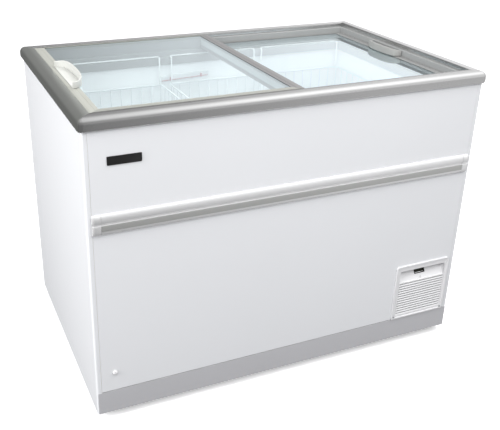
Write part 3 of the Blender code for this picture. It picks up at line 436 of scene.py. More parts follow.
def mix_color(tree, factor, a, b):
    return add(tree, "Mix", {MIX_FACTOR: factor, MIX_A: a, MIX_B: b}, MIX_COLOR,
               data_type="RGBA")


def surface(name, *, color, rough, metal=0.0, vary=0.03, vary_scale=3.0, grain=900.0,
            grain_bump=0.02, grain_dist=0.0002, rough_vary=0.06, stretch=(1, 1, 1),
            coat=0.0, coat_rough=0.15, edge_wear=0.0, spec=0.5):
    """Painted, moulded or metal surface.

    vary, vary_scale: share and noise scale of the soft tone changes; rough_vary: swing of the
    roughness; grain, grain_bump, grain_dist: noise scale, bump strength and bump distance of
    the fine grain; stretch: texture scale by axis; edge_wear: strength of paler raised edges.
    """
    material = bpy.data.materials.new(name)
    tree, output = blank_tree(material, "ShaderNodeOutputMaterial")
    coords = add(tree, "TexCoord", output="Object")
    stretched = add(tree, "Mapping", {"Vector": coords, "Scale": stretch})
    soft = noise(tree, coords, vary_scale, 3)
    fine = noise(tree, stretched, grain, 2)
    medium = noise(tree, stretched, grain / 14, 4)
    darker = (*(c * (1 - vary) for c in color), 1)
    lighter = (*(min(c * (1 + vary), 0.96) for c in color), 1)
    base = mix_color(tree, soft, darker, lighter)
    if edge_wear:
        pointiness = add(tree, "NewGeometry", output="Pointiness")
        edges = add(tree, "MapRange", {
            "From Min": 0.52, "From Max": 0.60, "To Max": edge_wear, "Value": pointiness})
        worn = add(tree, "Math", {0: edges, 1: medium}, operation="MULTIPLY")
        pale = (*(min(c * 0.72 + 0.18, 0.9) for c in color), 1)
        base = mix_color(tree, worn, base, pale)
    roughness = add(tree, "MapRange", {
        "To Min": max(rough - rough_vary, 0.02), "To Max": min(rough + rough_vary, 1),
        "Value": medium})
    bump = add(tree, "Bump", {"Strength": grain_bump, "Distance": grain_dist, "Height": fine})
    shader = add(tree, "BsdfPrincipled", {
        "Base Color": base, "Roughness": roughness, "Metallic": metal,
        "Specular IOR Level": spec, "Coat Weight": coat, "Coat Roughness": coat_rough,
        "Normal": bump})
    tree.links.new(shader, output)
    return material


def lid_glass():
    """Thin glass: tinted straight-through light under a faintly smeared mirror layer."""
    material = bpy.data.materials.new("lid_glass_pane")
    tree, output = blank_tree(material, "ShaderNodeOutputMaterial")
    clear = add(tree, "BsdfTransparent", {0: (0.955, 0.980, 0.980, 1)})
    smears = noise(tree, add(tree, "TexCoord", output="Object"), 6, 5)
    roughness = add(tree, "MapRange", {"To Min": 0.01, "To Max": 0.05, "Value": smears})
    mirror = add(tree, "BsdfGlossy", {"Color": (1.12, 1.22, 1.27, 1), "Roughness": roughness})
    # Reflection grows with the viewing angle, made 2.2 times stronger than plain glass
    fresnel = add(tree, "Fresnel", {"IOR": 1.5})
    reflect = add(tree, "Math", {0: fresnel, 1: 2.2}, operation="MULTIPLY", use_clamp=True)
    # Only faces turned to the viewer reflect
    back = add(tree, "NewGeometry", output="Backfacing")
    facing = add(tree, "Math", {0: 1.0, 1: back}, operation="SUBTRACT")
    share = add(tree, "Math", {0: reflect, 1: facing}, operation="MULTIPLY")
    tree.links.new(add(tree, "MixShader", {0: share, 1: clear, 2: mirror}), output)
    return material


# ---------------------------------------------------------------- materials
ANODISED = dict(metal=1.0, vary_scale=5, grain=1500, grain_bump=0.05, grain_dist=0.0001,
                rough_vary=0.05, edge_wear=0.25)
BUMPER = dict(metal=0.5, vary=0.02, vary_scale=5, grain=1500, grain_bump=0.04,
              grain_dist=0.0001, rough_vary=0.04, stretch=(0.02, 1, 1))
LID_PROFILE = dict(grain_bump=0.04, edge_wear=0.4)
GRIP = dict(vary=0.02, grain=700, grain_bump=0.08, coat=0.2)
BRUSHED_X, BRUSHED_Y = (0.02, 1, 1), (1, 0.02, 1)
DRAWN_X, DRAWN_Y = (0.05, 1, 1), (1, 0.05, 1)

WHITE = surface("white_powder_coat", color=(0.80, 0.81, 0.83), rough=0.34, vary=0.012,
                grain=520, grain_bump=0.05, rough_vary=0.05, coat=0.25, coat_rough=0.12)
LINER = surface("liner_enamel", color=(0.86, 0.88, 0.89), rough=0.38, vary=0.015, grain=420,
                grain_bump=0.04, coat=0.15)
# The rim's four bars are one extrusion, each side in its own tone for how the light falls on it:
# front and left darker as painted shade (the left one olive), rear and right paler as painted
# light.
RIM_FRONT_SHADE_TONE = surface("rim_front_painted_shade", color=(0.66, 0.66, 0.655), rough=0.25,
                    stretch=BRUSHED_X, **ANODISED)
RIM_REAR_LIGHT_TONE = surface("rim_rear_painted_light", color=(0.80, 0.80, 0.795), rough=0.25,
                   stretch=BRUSHED_X, **ANODISED)
RIM_RIGHT_LIGHT_TONE = surface("rim_right_painted_light", color=(0.78, 0.78, 0.775), rough=0.25,
                    stretch=BRUSHED_Y, **ANODISED)
RAIL = surface("bumper_aluminium", color=(0.84, 0.84, 0.845), rough=0.20, **BUMPER)
# Lower bulge of the bumper: the same aluminium painted darker, as a painted dark reflection.
RAIL_PAINTED_DARK_BAND = surface("bumper_lower_painted_reflection", color=(0.50, 0.505, 0.49), rough=0.26, **BUMPER)
COLLAR = surface("collar_extrusion", color=(0.335, 0.342, 0.34), rough=0.38, metal=0.20,
                 vary=0.05, grain=700, grain_bump=0.05)
# Upper lid bars along x: the same profile as those along y, painted darker as painted shade.
UPPER_LID_X_SHADE_TONE = surface("lid_profile_x", color=(0.245, 0.25, 0.225), rough=0.40,
                      stretch=DRAWN_X, **LID_PROFILE)
# Painted shadow: a dark band along the front edge of the upper lid's front bar, standing for the
# shadow in the gap at the rim's inner edge.
GAP_SHADOW_PAINT = surface("lid_front_painted_gap_shadow", color=(0.13, 0.13, 0.125), rough=0.45, metal=0.2,
                      vary=0.05, grain_bump=0.05, stretch=DRAWN_X)
# Upper lid bars along y: the paler tone of the same profile, as painted light.
UPPER_LID_Y_LIGHT_TONE = surface("lid_profile_y", color=(0.33, 0.335, 0.30), rough=0.40,
                      stretch=DRAWN_Y, **LID_PROFILE)
END_BAR = surface("lid_end_bar", color=(0.265, 0.262, 0.262), rough=0.34, metal=0.55,
                  grain=1200, grain_bump=0.05, stretch=(1, 0.03, 1), edge_wear=0.3)
UPPER_GRIP = surface("lid_handle_plastic", color=(0.53, 0.535, 0.51), rough=0.36, **GRIP)
LOWER_GRIP = surface("lower_lid_handle", color=(0.33, 0.33, 0.32), rough=0.38, **GRIP)
LOWER_LID_X = surface("lower_lid_profile_x", color=(0.26, 0.262, 0.258), rough=0.38,
                      metal=0.3, stretch=DRAWN_X, **LID_PROFILE)
LOWER_LID_Y = surface("lower_lid_profile_y", color=(0.26, 0.262, 0.258), rough=0.38,
                      metal=0.3, stretch=DRAWN_Y, **LID_PROFILE)
# Left rim bar: the same extrusion, darker and olive as painted shade.
RIM_LEFT_SHADE_TONE = surface("rim_left_painted_shade", color=(0.66, 0.68, 0.64), rough=0.30,
                   stretch=BRUSHED_Y, **ANODISED)
THERMOMETER = surface("thermometer_body", color=(0.70, 0.72, 0.73), rough=0.30, vary=0.02,
                      grain=600, grain_bump=0.03, coat=0.5)
BUTTON = surface("button_cap", color=(0.62, 0.62, 0.63), rough=0.35, grain=800,
                 grain_bump=0.05, coat=0.2)
HANGER = surface("white_dipped_hanger", color=(0.90, 0.92, 0.92), rough=0.28, vary=0.02,
                 grain=300, grain_bump=0.06, coat=0.5)
GLASS = lid_glass()
KICK = surface("kick_paint", color=(0.57, 0.57, 0.59), rough=0.42, metal=0.15, grain=600,
               grain_bump=0.06, coat=0.1)
PLASTIC = surface("white_moulding", color=(0.80, 0.80, 0.81), rough=0.38, vary=0.015,
                  grain=800, grain_bump=0.06, coat=0.15)
# Painted shade for the louvre's deep faces and the top of the recess
RECESS_PAINTED_SHADE = surface("louvre_recess_painted_shade", color=(0.40, 0.40, 0.41), rough=0.60, vary=0.08,
                      grain=800, grain_bump=0.06)
CASE = surface("controller_case_black", color=(0.006, 0.006, 0.005), rough=0.50, vary=0.1,
               grain_bump=0.06, spec=0.10)
BLACK = surface("black_moulding", color=(0.012, 0.012, 0.012), rough=0.30, vary=0.1,
                grain=800, grain_bump=0.08, coat=0.3)
DISPLAY = surface("display_lens", color=(0.010, 0.012, 0.007), rough=0.10, vary=0.1,
                  grain=200, grain_bump=0.0, coat_rough=0.03, spec=0.14)
FOAM = surface("insulation_foam", color=(0.74, 0.66, 0.42), rough=0.95, vary=0.12,
               vary_scale=20, grain=300, grain_bump=0.6, grain_dist=0.001)
ZINC = surface("zinc_plated_steel", color=(0.52, 0.54, 0.55), rough=0.38, metal=0.9,
               vary=0.12, vary_scale=40, grain=500, grain_bump=0.08, rough_vary=0.12)
COPPER = surface("copper_pipe", color=(0.72, 0.36, 0.22), rough=0.30, metal=1.0, vary=0.12,
                 vary_scale=30, grain=400, grain_bump=0.05, rough_vary=0.1)
# Grid wire: the same white-dipped wire as the hangers, painted grey as painted shade on its thin
# wires.
WIRE_SHADE_TONE = surface("white_dipped_wire_painted_shade", color=(0.66, 0.69, 0.71), rough=0.30, vary=0.02,
               grain=300, grain_bump=0.06, coat=0.4)
RUBBER = surface("grey_tread", color=(0.055, 0.055, 0.058), rough=0.72, vary=0.15,
                 grain=700, grain_bump=0.25, grain_dist=0.0004)
HUB = surface("wheel_hub_nylon", color=(0.30, 0.30, 0.31), rough=0.45, vary=0.05,
              grain=600, grain_bump=0.1)
PILE = surface("seal_pile", color=(0.50, 0.53, 0.53), rough=0.85, vary=0.2, grain=1600,
               grain_bump=0.8, grain_dist=0.001, stretch=(1, 1, 0.1))
RED = surface("indicator_red", color=(0.42, 0.10, 0.14), rough=0.35, vary=0.05, grain=500,
              grain_bump=0.03)
CORD = surface("cord_pvc", color=(0.02, 0.02, 0.021), rough=0.45, vary=0.1, grain_bump=0.1)
COMPRESSOR = surface("compressor_enamel", color=(0.015, 0.015, 0.016), rough=0.28, vary=0.1,
                     grain=220, grain_bump=0.15, grain_dist=0.0004, coat=0.4)

# CAD pieces that keep their own shape
for node, material in {
    "front_panel": WHITE, "foam_insulation": FOAM, "inner_liner": LINER,
    "drain_hose": PLASTIC, "drain_stopper": RUBBER, "compressor": COMPRESSOR,
    "relay_box": BLACK, "condenser_coil": ZINC, "discharge_pipe": COPPER,
    "filter_drier": COPPER, "evaporator_tube": COPPER, "fan_shroud": ZINC,
    "fan_motor": BLACK, "fan_blade": BLACK,
}.items():
    set_material(NODES[node].data, material)


# ---------------------------------------------------------------- outer shell
def side_skin(side, sign):
    """Side sheet, wrapped round the front and rear corners."""
    r, wrap = 0.006, 0.0140
    path = [(HX - wrap, -HY), (HX - r - 0.0012, -HY), *arc(HX - r, -HY + r, r, -90, 0, 8),
            (HX, -HY + r + 0.0015), (HX, HY - r - 0.0015), *arc(HX - r, HY - r, r, 0, 90, 8),
            (HX - r - 0.0012, HY), (HX - wrap, HY)]
    section = thicken(path, -0.0010)
    rings = [[(sign * x, y, z) for x, y in section] for z in (0.0, 0.0008, 0.4, 0.8142, 0.8150)]
    name = side + "_side_panel"
    place(name + "_skin", loft(rings, 25), WHITE, name)


for side, sign in LEFT_RIGHT:
    side_skin(side, sign)

kick_sheet = prism([(-0.577, 0.0), (-0.577, 0.0690), (0.577, 0.0690), (0.577, 0.0)], "Y",
                   FRONT - 0.0015, FRONT - GAP, bevel=0.0005)
kick_lip = box(-0.565, 0.565, FRONT - 0.0009, FRONT + 0.0170, 0.0, 0.0012, 0.0004)
place("kick_plate_skin", merged([kick_sheet, kick_lip]), KICK, "kick_plate")

# ---------------------------------------------------------------- rim extrusion
RIM_CORNER = 0.0060  # plan radius of the cabinet's corners
MITRE_GAP = 0.00012
# Outer face of the rim: (outward from the cabinet side, z)
RIM_FACE = [
    (0.0040, 0.8158), (0.0052, 0.8164), (0.0066, 0.8178), (0.0075, 0.8196), (0.0081, 0.8218),
    (0.0084, 0.8243), (0.0085, 0.8270), (0.0085, 0.8300), (0.0084, 0.8328), (0.0080, 0.8357),
    (0.0073, 0.8383), (0.0063, 0.8406), (0.0050, 0.8427), (0.0034, 0.8445), (0.0014, 0.8461),
    (-0.0010, 0.8474), (-0.0036, 0.8484), (-0.0066, 0.8492), (-0.0098, 0.8497),
    (-0.0130, 0.8500), (-RIM_INSET + 0.0010, 0.8500), (-RIM_INSET + 0.0003, 0.8497),
    (-RIM_INSET, 0.8490), (-RIM_INSET, UPPER_LEDGE + 0.0007)]
rim_section = thicken(RIM_FACE, -0.0016)


def corner_stations(half, outward, steps=8):
    """(along, inward) stations from the straight run to the mitre, at one outward distance."""
    start = half - RIM_INSET - 0.002
    stations = [(start, 0.0)]
    radius = RIM_CORNER + outward
    for k in range(steps + 1):
        gap = MITRE_GAP if k == steps else 0
        if radius > 0:
            turn = math.radians(45 * k / steps)
            along = half - RIM_CORNER + radius * math.sin(turn) - gap
            stations.append((along, radius * (1 - math.cos(turn))))
        else:
            along = start + (half + outward - start) * (k + 1) / (steps + 1) - gap
            stations.append((along, 0.0))
    return stations


def rim_bar(side):
    """One side of the rim, rounded in plan at its corners and mitred."""
    half_along, half_out = (HX, HY) if side in ("front", "rear") else (HY, HX)
    rows = [corner_stations(half_along, outward) for outward, _ in rim_section]
    last = len(rows[0])
    order = [(-1, k) for k in reversed(range(last))] + [(1, k) for k in range(last)]
    rings = []
    for end, k in order:
        ring = []
        for (outward, z), row in zip(rim_section, rows):
            along, inward = row[k]
            ring.append(side_point(side, end * along, half_out + (outward - inward), z))
        rings.append(ring)
    return loft(rings)


# Each side gets its painted light or painted shade tone
for side, material in (("front", RIM_FRONT_SHADE_TONE), ("rear", RIM_REAR_LIGHT_TONE), ("left", RIM_LEFT_SHADE_TONE),
                       ("right", RIM_RIGHT_LIGHT_TONE)):
    place(f"rim_{side}_bar", rim_bar(side), material, "rim_" + side)

# Collar: one folded frame with both lid tracks and the basket ledge; (outward, z)
COLLAR_FOLD = [
    (-0.0045, 0.8200), (-0.0045, UPPER_LEDGE), (-0.0405, UPPER_LEDGE), (-0.0405, LOWER_LEDGE),
    (-0.0560, LOWER_LEDGE), (-0.0575, SHELF_Z), (-0.0705, SHELF_Z), (-0.0712, 0.7680)]
collar_section = thicken(bend_flat(COLLAR_FOLD, 0.0012, 3), -0.0024)
rings = [[(sx * (HX + outward), sy * (HY + outward), z) for outward, z in collar_section]
         for sx, sy in ((-1, -1), (1, -1), (1, 1), (-1, 1))]
place("lid_track_collar_frame", loft(rings, closed=True), COLLAR,
      "lid_track_collar")

# ---------------------------------------------------------------- bumper rail and badge
# Rail section: (forward of the front panel, z)
BUMPER_FACE = [
    (0.0008, 0.5460), (0.0036, 0.5468), (0.0054, 0.5482), (0.0068, 0.5505), (0.0080, 0.5535),
    (0.0087, 0.5570), (0.0091, 0.5610), (0.0093, 0.5650), (0.0093, 0.5690), (0.0092, 0.5722),
    (0.0087, 0.5737), (0.0070, 0.5742), (0.0058, 0.5750), (0.0058, 0.5764), (0.0068, 0.5778),
    (0.0082, 0.5796), (0.0093, 0.5820), (0.0100, 0.5850), (0.0104, 0.5882), (0.0103, 0.5912),
    (0.0098, 0.5942), (0.0088, 0.5970), (0.0073, 0.5995), (0.0052, 0.6014), (0.0030, 0.6024),
    (0.0008, 0.6028)]
BUMPER_HX, BUMPER_CAP, BUMPER_MID_Z = 0.5675, 0.022, 0.5744
# End cap: (share of its length, scale of the section forward, scale in height)
CAP_STATIONS = [
    (0, 0.93, 0.985), (0.03, 0.99, 1.0), (0.10, 1.0, 1.0), (0.62, 1.0, 1.0),
    (0.78, 0.97, 0.995), (0.88, 0.88, 0.98), (0.95, 0.74, 0.955), (1.0, 0.50, 0.92)]

rail_section = thicken(BUMPER_FACE, -0.0014)
rings = [[(x, FRONT - forward, z) for forward, z in rail_section]
         for x in (-BUMPER_HX + BUMPER_CAP + 0.0005, 0, BUMPER_HX - BUMPER_CAP - 0.0005)]
rail = place("bumper_rail_bar", loft(rings, 28), RAIL, "bumper_rail")
# The rail's lower bulge gets the painted dark reflection
paint_faces(rail, RAIL_PAINTED_DARK_BAND, lambda c: 0.5555 < c.z < 0.5738)

for side, sign in LEFT_RIGHT:
    rings = [[(sign * (BUMPER_HX - BUMPER_CAP + BUMPER_CAP * share),
               FRONT - GAP - (forward + GAP) * depth,
               BUMPER_MID_Z + (z - BUMPER_MID_Z) * height) for forward, z in BUMPER_FACE]
             for share, depth, height in CAP_STATIONS]
    name = "bumper_cap_" + side
    place(name + "_moulding", loft(rings, 35), RAIL, name)

badge = rounded_rectangle(-0.5220, -0.4350, 0.7262, 0.7490, (0.0022,) * 4, 5)
place("badge_plate_blank", prism(badge, "Y", FRONT - 0.0022, FRONT - GAP, bevel=0.0006, segs=3),
      BLACK, "badge_plate")

# ---------------------------------------------------------------- sliding lids
UPPER_LID_Z, LOWER_LID_Z = UPPER_LEDGE + 0.0005, LOWER_LEDGE + 0.0005
LOWER_LID_INSET = 0.0415
OVERLAP_RIGHT, OVERLAP_BAR = 0.0240, 0.0285  # right edge of the overlap; its bar's width
# Width of that painted shadow band on the front bar
GAP_SHADOW_WIDTH = 0.0110
PROFILE_GAP = 0.00015
BOW_POWER = 2 / 2.8  # superellipse exponent of the grip in plan


def profile_section(width, groove, gap_shadow_band):
    """Grooved bar section: (inward from the lid's edge, z)."""
    top = LID_HEIGHT
    section = [(0.0008, 0), (width - 0.0004, 0), (width, 0.0004), (width, 0.0048),
               (width - 0.0004, 0.0052), (groove, 0.0052), (groove, 0.0094),
               (width - 0.0002, 0.0094), (width, 0.0096), (width, top - 0.0004),
               (width - 0.0003, top)]
    if width > 0.015:  # a shallow line along the top
        line = width * 0.66
        section += [(line, top), (line - 0.0004, top - 0.0005), (line - 0.0014, top - 0.0005),
                    (line - 0.0018, top)]
    # An edge on the top where the painted shadow band ends
    if gap_shadow_band:
        section.append((GAP_SHADOW_WIDTH, top))
    return section + [(0.0016, top), (0.0008, top - 0.0003), (0.0003, top - 0.0008),
                      (0, top - 0.0016), (0, 0.0008), (0.0003, 0.0003)]


def finger_grip(outer, root, half_length, middle_y, depth):
    """Bowed upright wall on a base plate; root is the x of its ends, outer their side."""
    thickness, base, edge = 0.0042, LID_HEIGHT + GAP, 0.0013
    # (distance from the grip's middle along y, top of the wall)
    tops = [(0.0, GRIP_HEIGHT), (0.40 * half_length, GRIP_HEIGHT - 0.0003),
            (0.70 * half_length, 0.0221), (0.90 * half_length, 0.0204),
            (0.97 * half_length, 0.0182), (half_length + 0.001, 0.0150)]

    def bow_point(turn, margin):
        reach = max(math.sin(turn), 0.0) ** BOW_POWER
        swing = math.copysign(abs(math.cos(turn)) ** BOW_POWER, math.cos(turn))
        return (outer * (root - (depth - margin) * reach),
                middle_y + (half_length - margin) * swing)

    def top_at(y):
        return next(low + (high - low) * (y - a) / (b - a)
                    for (a, low), (b, high) in zip(tops, tops[1:]) if y <= b)

    rings = []
    steps = 44
    for k in range(steps + 1):
        turn = math.pi * k / steps
        outside = Vector((*bow_point(turn, 0), 0))
        inside = Vector((*bow_point(turn, thickness), 0))
        width = (inside - outside).length
        across = (inside - outside) / width
        z0 = base + 0.0002
        z1 = base + top_at(abs((outside.y + inside.y) / 2 - middle_y))
        section = [*arc(width - edge, z1 - edge, edge, 0, 90, 3),
                   *arc(edge, z1 - edge, edge, 90, 180, 3),
                   *arc(edge, z0 + edge, edge, 180, 270, 3),
                   *arc(width - edge, z0 + edge, edge, 270, 360, 3)]
        ring = []
        for offset, z in section:
            point = outside + across * offset
            ring.append((point.x, point.y, z))
        rings.append(ring)
    foot = [bow_point(math.pi * k / 24, 0.0010) for k in range(25)]
    plate = prism(foot, "Z", base, base + 0.0018, bevel=0.0004)
    return merged([loft(rings, 50), plate], 50)


def lid(tag, x0, x1, half_y, z0, outer, end_width, materials, grip_length, grip_y, grip_inset,
        grip_depth):
    """One lid, drawn from the middle of its footprint at its underside; gives that place.

    outer is the sign of its outer end in x; materials are for profiles along x, along y, grip.
    """
    half_x = (x1 - x0) / 2
    at = ((x0 + x1) / 2, 0, z0)
    body = tag + "_lid"
    outer_end, inner_end = ("left", "right") if outer < 0 else ("right", "left")
    widths = {"front": 0.030, "rear": 0.008, outer_end: end_width, inner_end: OVERLAP_BAR}
    grooves = {side: w - min(0.011, 0.4 * w) for side, w in widths.items()}

    for part, side, material, slot in (
            ("front", "front", materials[0], "lid_frame_grey"),
            ("rear", "rear", materials[0], "lid_frame_grey"),
            ("end", outer_end, materials[1], "lid_frame_grey"),
            ("overlap", inner_end, END_BAR, "lid_bar_grey")):
        width = widths[side]
        gap_shadow_band = side == "front" and outer < 0
        if side in ("front", "rear"):
            half_along, half_out, neighbours = half_x, half_y, ("left", "right")
        else:
            half_along, half_out, neighbours = half_y, half_x, ("front", "rear")
        rings = []
        for end, neighbour in zip((-1, 1), neighbours):  # mitred to the neighbour's width
            rings.append([side_point(
                side, end * (half_along - q * widths[neighbour] / width - PROFILE_GAP),
                half_out - q, z) for q, z in profile_section(width, grooves[side], gap_shadow_band)])
        name = f"{tag}_lid_{part}_profile"
        bar = place(name + "_bar", loft(rings), material, name, body, at)
        # Painted shadow along the front bar's edge
        if gap_shadow_band:
            paint_faces(bar, GAP_SHADOW_PAINT, lambda c: c.y < -half_y + 0.0105)

    slack = 0.0005
    pane = box(-half_x + grooves["left"] + slack, half_x - grooves["right"] - slack,
               -half_y + grooves["front"] + slack, half_y - grooves["rear"] - slack,
               0.0055, 0.0091, 0.0004, angle=0)
    place(tag + "_lid_pane", pane, GLASS, tag + "_lid_glass", body, at)
    grip = finger_grip(outer, half_x - grip_inset, grip_length, grip_y, grip_depth)
    place(tag + "_lid_grip", grip, materials[2], tag + "_lid_handle", body, at)
    return at


left_lid_at = lid(
    "left", x0=-HX + RIM_INSET + 0.0010, x1=OVERLAP_RIGHT, half_y=HY - RIM_INSET - 0.0010,
    z0=UPPER_LID_Z, outer=-1, end_width=0.030,
    materials=(UPPER_LID_X_SHADE_TONE, UPPER_LID_Y_LIGHT_TONE, UPPER_GRIP),
    grip_length=0.112, grip_y=-0.0155, grip_inset=0.0120, grip_depth=0.0370)
lid("right", x0=OVERLAP_RIGHT - OVERLAP_BAR, x1=HX - LOWER_LID_INSET,
    half_y=HY - LOWER_LID_INSET, z0=LOWER_LID_Z, outer=1, end_width=0.024,
    materials=(LOWER_LID_X, LOWER_LID_Y, LOWER_GRIP),
    grip_length=0.080, grip_y=0.0405, grip_inset=0.0030, grip_depth=0.0310)

# Pile seal under the upper lid's overlap profile: a ribbed carrier and a pile; (x, z)
seal_x = OVERLAP_RIGHT - OVERLAP_BAR + 0.0020 - left_lid_at[0]
drop = UPPER_LID_Z - (LOWER_LID_Z + LID_HEIGHT)
seal = [(-0.0020, -0.0003), (-0.0020, -0.0026), (-0.0013, -0.0030), (-0.0013, -0.0036),
        (-0.0020, -0.0040), (-0.0020, -0.0064), (-0.0012, -0.0070), (-0.0012, -0.0078),
        (-0.0017, -0.0084), (-0.0017, -drop + 0.0014), (-0.0009, -drop + 0.0006),
        (0.0009, -drop + 0.0006), (0.0017, -drop + 0.0014), (0.0017, -0.0072),
        (0.0020, -0.0064), (0.0020, -0.0003)]
rings = [[(seal_x + x, y, z) for x, z in seal] for y in (-0.3220, -0.3210, 0, 0.3210, 0.3220)]
place("lid_overlap_seal", loft(rings, 25), PILE, "lid_overlap_brush", "left_lid",
      left_lid_at)

# ---------------------------------------------------------------- wire baskets
BASKET_HX, BASKET_HY = 0.1550, 0.2860  # half sizes at the top
BASKET_TOP, BASKET_BOTTOM = 0.706, 0.486
CELLS_X, CELLS_Y = 9, 16
TAPER_X, TAPER_Y = 0.006, 0.008
FLOOR_HX, FLOOR_HY = BASKET_HX - TAPER_X, BASKET_HY - TAPER_Y
BASKET_DEPTH = BASKET_TOP - BASKET_BOTTOM


def wire_ring(half_x, half_y, z, steps, radius, segs):
    corners = [(-half_x, -half_y, z), (half_x, -half_y, z), (half_x, half_y, z),
               (-half_x, half_y, z)]
    return tube(bend(corners, 0.012, steps, True), radius, segs, True)


def basket_grid():
    """Tapered grid, drawn down from its top ring."""
    r, segs = 0.0015, 6
    bottom = -BASKET_DEPTH
    wires = []
    for i in range(1, CELLS_Y):
        share = -1 + 2 * i / CELLS_Y
        high, low = share * BASKET_HY, share * FLOOR_HY
        if i % 2 == 0:  # every second wire runs on across the floor
            path = [(-BASKET_HX, high, 0.0), (-BASKET_HX + TAPER_X, low, bottom),
                    (FLOOR_HX, low, bottom), (BASKET_HX, high, 0.0)]
            wires.append(tube(bend(path, 0.010, 3), r, segs))
        else:
            wires += [tube([(e * BASKET_HX, high, 0.0), (e * FLOOR_HX, low, bottom)], r, segs)
                      for e in (-1, 1)]
    for i in range(1, CELLS_X):
        share = -1 + 2 * i / CELLS_X
        high, low = share * BASKET_HX, share * FLOOR_HX
        if i in (3, 6):  # two run on, above the crossing floor wires
            path = [(high, -BASKET_HY, 0.0), (low, -BASKET_HY + TAPER_Y, bottom + 0.002),
                    (low, FLOOR_HY, bottom + 0.002), (high, BASKET_HY, 0.0)]
            wires.append(tube(bend(path, 0.010, 3), r, segs))
        else:
            wires += [tube([(high, e * BASKET_HY, 0.0), (low, e * FLOOR_HY, bottom)], r, segs)
                      for e in (-1, 1)]
    wires.append(wire_ring(FLOOR_HX, FLOOR_HY, bottom, 4, 0.0018, 6))
    wires.append(wire_ring(BASKET_HX, BASKET_HY, 0, 5, 0.0028, 10))
    for sx, sy in product((-1, 1), repeat=2):
        wires.append(tube([(sx * (BASKET_HX - 0.0035), sy * (BASKET_HY - 0.0035), 0.0),
                           (sx * (FLOOR_HX - 0.003), sy * (FLOOR_HY - 0.003), bottom)],
                          r, segs))
    return merged(wires, 60)


def basket_hangers():
    """Front and rear loops that rest on the collar's shelf."""
    x, z = 0.149, SHELF_Z + 0.0026 + GAP - BASKET_TOP
    loops = []
    for sign in (-1, 1):
        y0, y1 = sign * BASKET_HY, sign * (HY - LINER_INSET)
        path = [(-x, y0, -0.0010), (-x, y0, z), (-x, y1, z), (x, y1, z), (x, y0, z),
                (x, y0, -0.0010)]
        loops.append(tube(bend(path, 0.0110), 0.0025))
    return merged(loops, 60)


grid, hangers = basket_grid(), basket_hangers()
for tag, x in (("left", -0.311), ("centre", 0.028), ("right", 0.354)):
    name = "basket_" + tag
    for part, mesh, material in (("_grid", grid, WIRE_SHADE_TONE), ("_hangers", hangers, HANGER)):
        place(name + part, mesh.copy(), material, name, name + "_body",
              (x, 0, BASKET_TOP))

# ---------------------------------------------------------------- thermometer strip
strip_y = HY - LINER_INSET
STRIP_TILT = (Matrix.Translation((-0.0710, 0, 0.7240))
              @ Matrix.Rotation(math.radians(-2.2), 4, "Y"))
strip = box(-0.0860, 0.0860, strip_y - 0.0056, strip_y - 0.0004, -0.0095, 0.0095, 0.0012, 3)
ticks = []
for i in range(17):
    x = -0.078 + 0.0098 * i
    ticks.append(box(x - 0.0002, x + 0.0002, strip_y - 0.0058, strip_y - 0.0054, 0.0020,
                     0.0050 if i % 4 else 0.0072))
column = [tube([(-0.0800, strip_y - 0.0056, -0.0058), (0.0820, strip_y - 0.0056, -0.0058)],
               0.0011, 8)]
for x in (-0.050, 0.058):
    column.append(box(x - 0.0026, x + 0.0026, strip_y - 0.0067, strip_y - 0.0030,
                      -0.0088, 0.0030, 0.0008))
for part, mesh, material, slot in (("strip", strip, THERMOMETER, "white_plastic"),
                                   ("scale", merged(ticks), COLLAR, "black_plastic"),
                                   ("column", merged(column), RED, "white_plastic")):
    place("thermometer_" + part, moved(mesh, STRIP_TILT), material, "thermometer")

# ---------------------------------------------------------------- control grille
# Rectangles on the front: x0, x1, z0, z1
GRILLE = (0.365, 0.558, 0.0708, 0.2585)
LOUVRE = LV_X0, LV_X1, LV_Z0, LV_Z1 = (0.380, 0.547, 0.0825, 0.1950)
RECESS = RC_X0, RC_X1, RC_Z0, RC_Z1 = (0.380, 0.545, 0.1985, 0.2400)
SLATS = 13
# Slat section: (y from the front panel, z from its middle)
SLAT = [(-0.0028, -0.0037), (-0.0022, -0.0041), (-0.0012, -0.0038), (0.0050, 0.0024),
        (0.0048, 0.0036), (0.0036, 0.0036), (0.0000, 0.0001), (-0.0024, -0.0024),
        (-0.0029, -0.0031)]


def raised_frame():
    """Flat flange with both openings, and the lip round its edge."""
    flange = prism(
        rounded_rectangle(*GRILLE, (0.001, 0.001, 0.009, 0.009), 6), "Y",
        FRONT - 0.0026, FRONT - GAP, bevel=0.0005,
        holes=(rounded_rectangle(*LOUVRE, (0.0015,) * 4, 3),
               rounded_rectangle(*RECESS, (0.002, 0.002, 0.004, 0.004), 3)))
    lip = prism(
        rounded_rectangle(*inset(GRILLE, 0.0002), (0.001, 0.001, 0.0088, 0.0088), 6), "Y",
        FRONT - 0.0046, FRONT - 0.0022, bevel=0.0010, segs=3,
        holes=(rounded_rectangle(*inset(GRILLE, 0.0046), (0.001, 0.001, 0.0046, 0.0046), 6),))
    return [flange, lip]


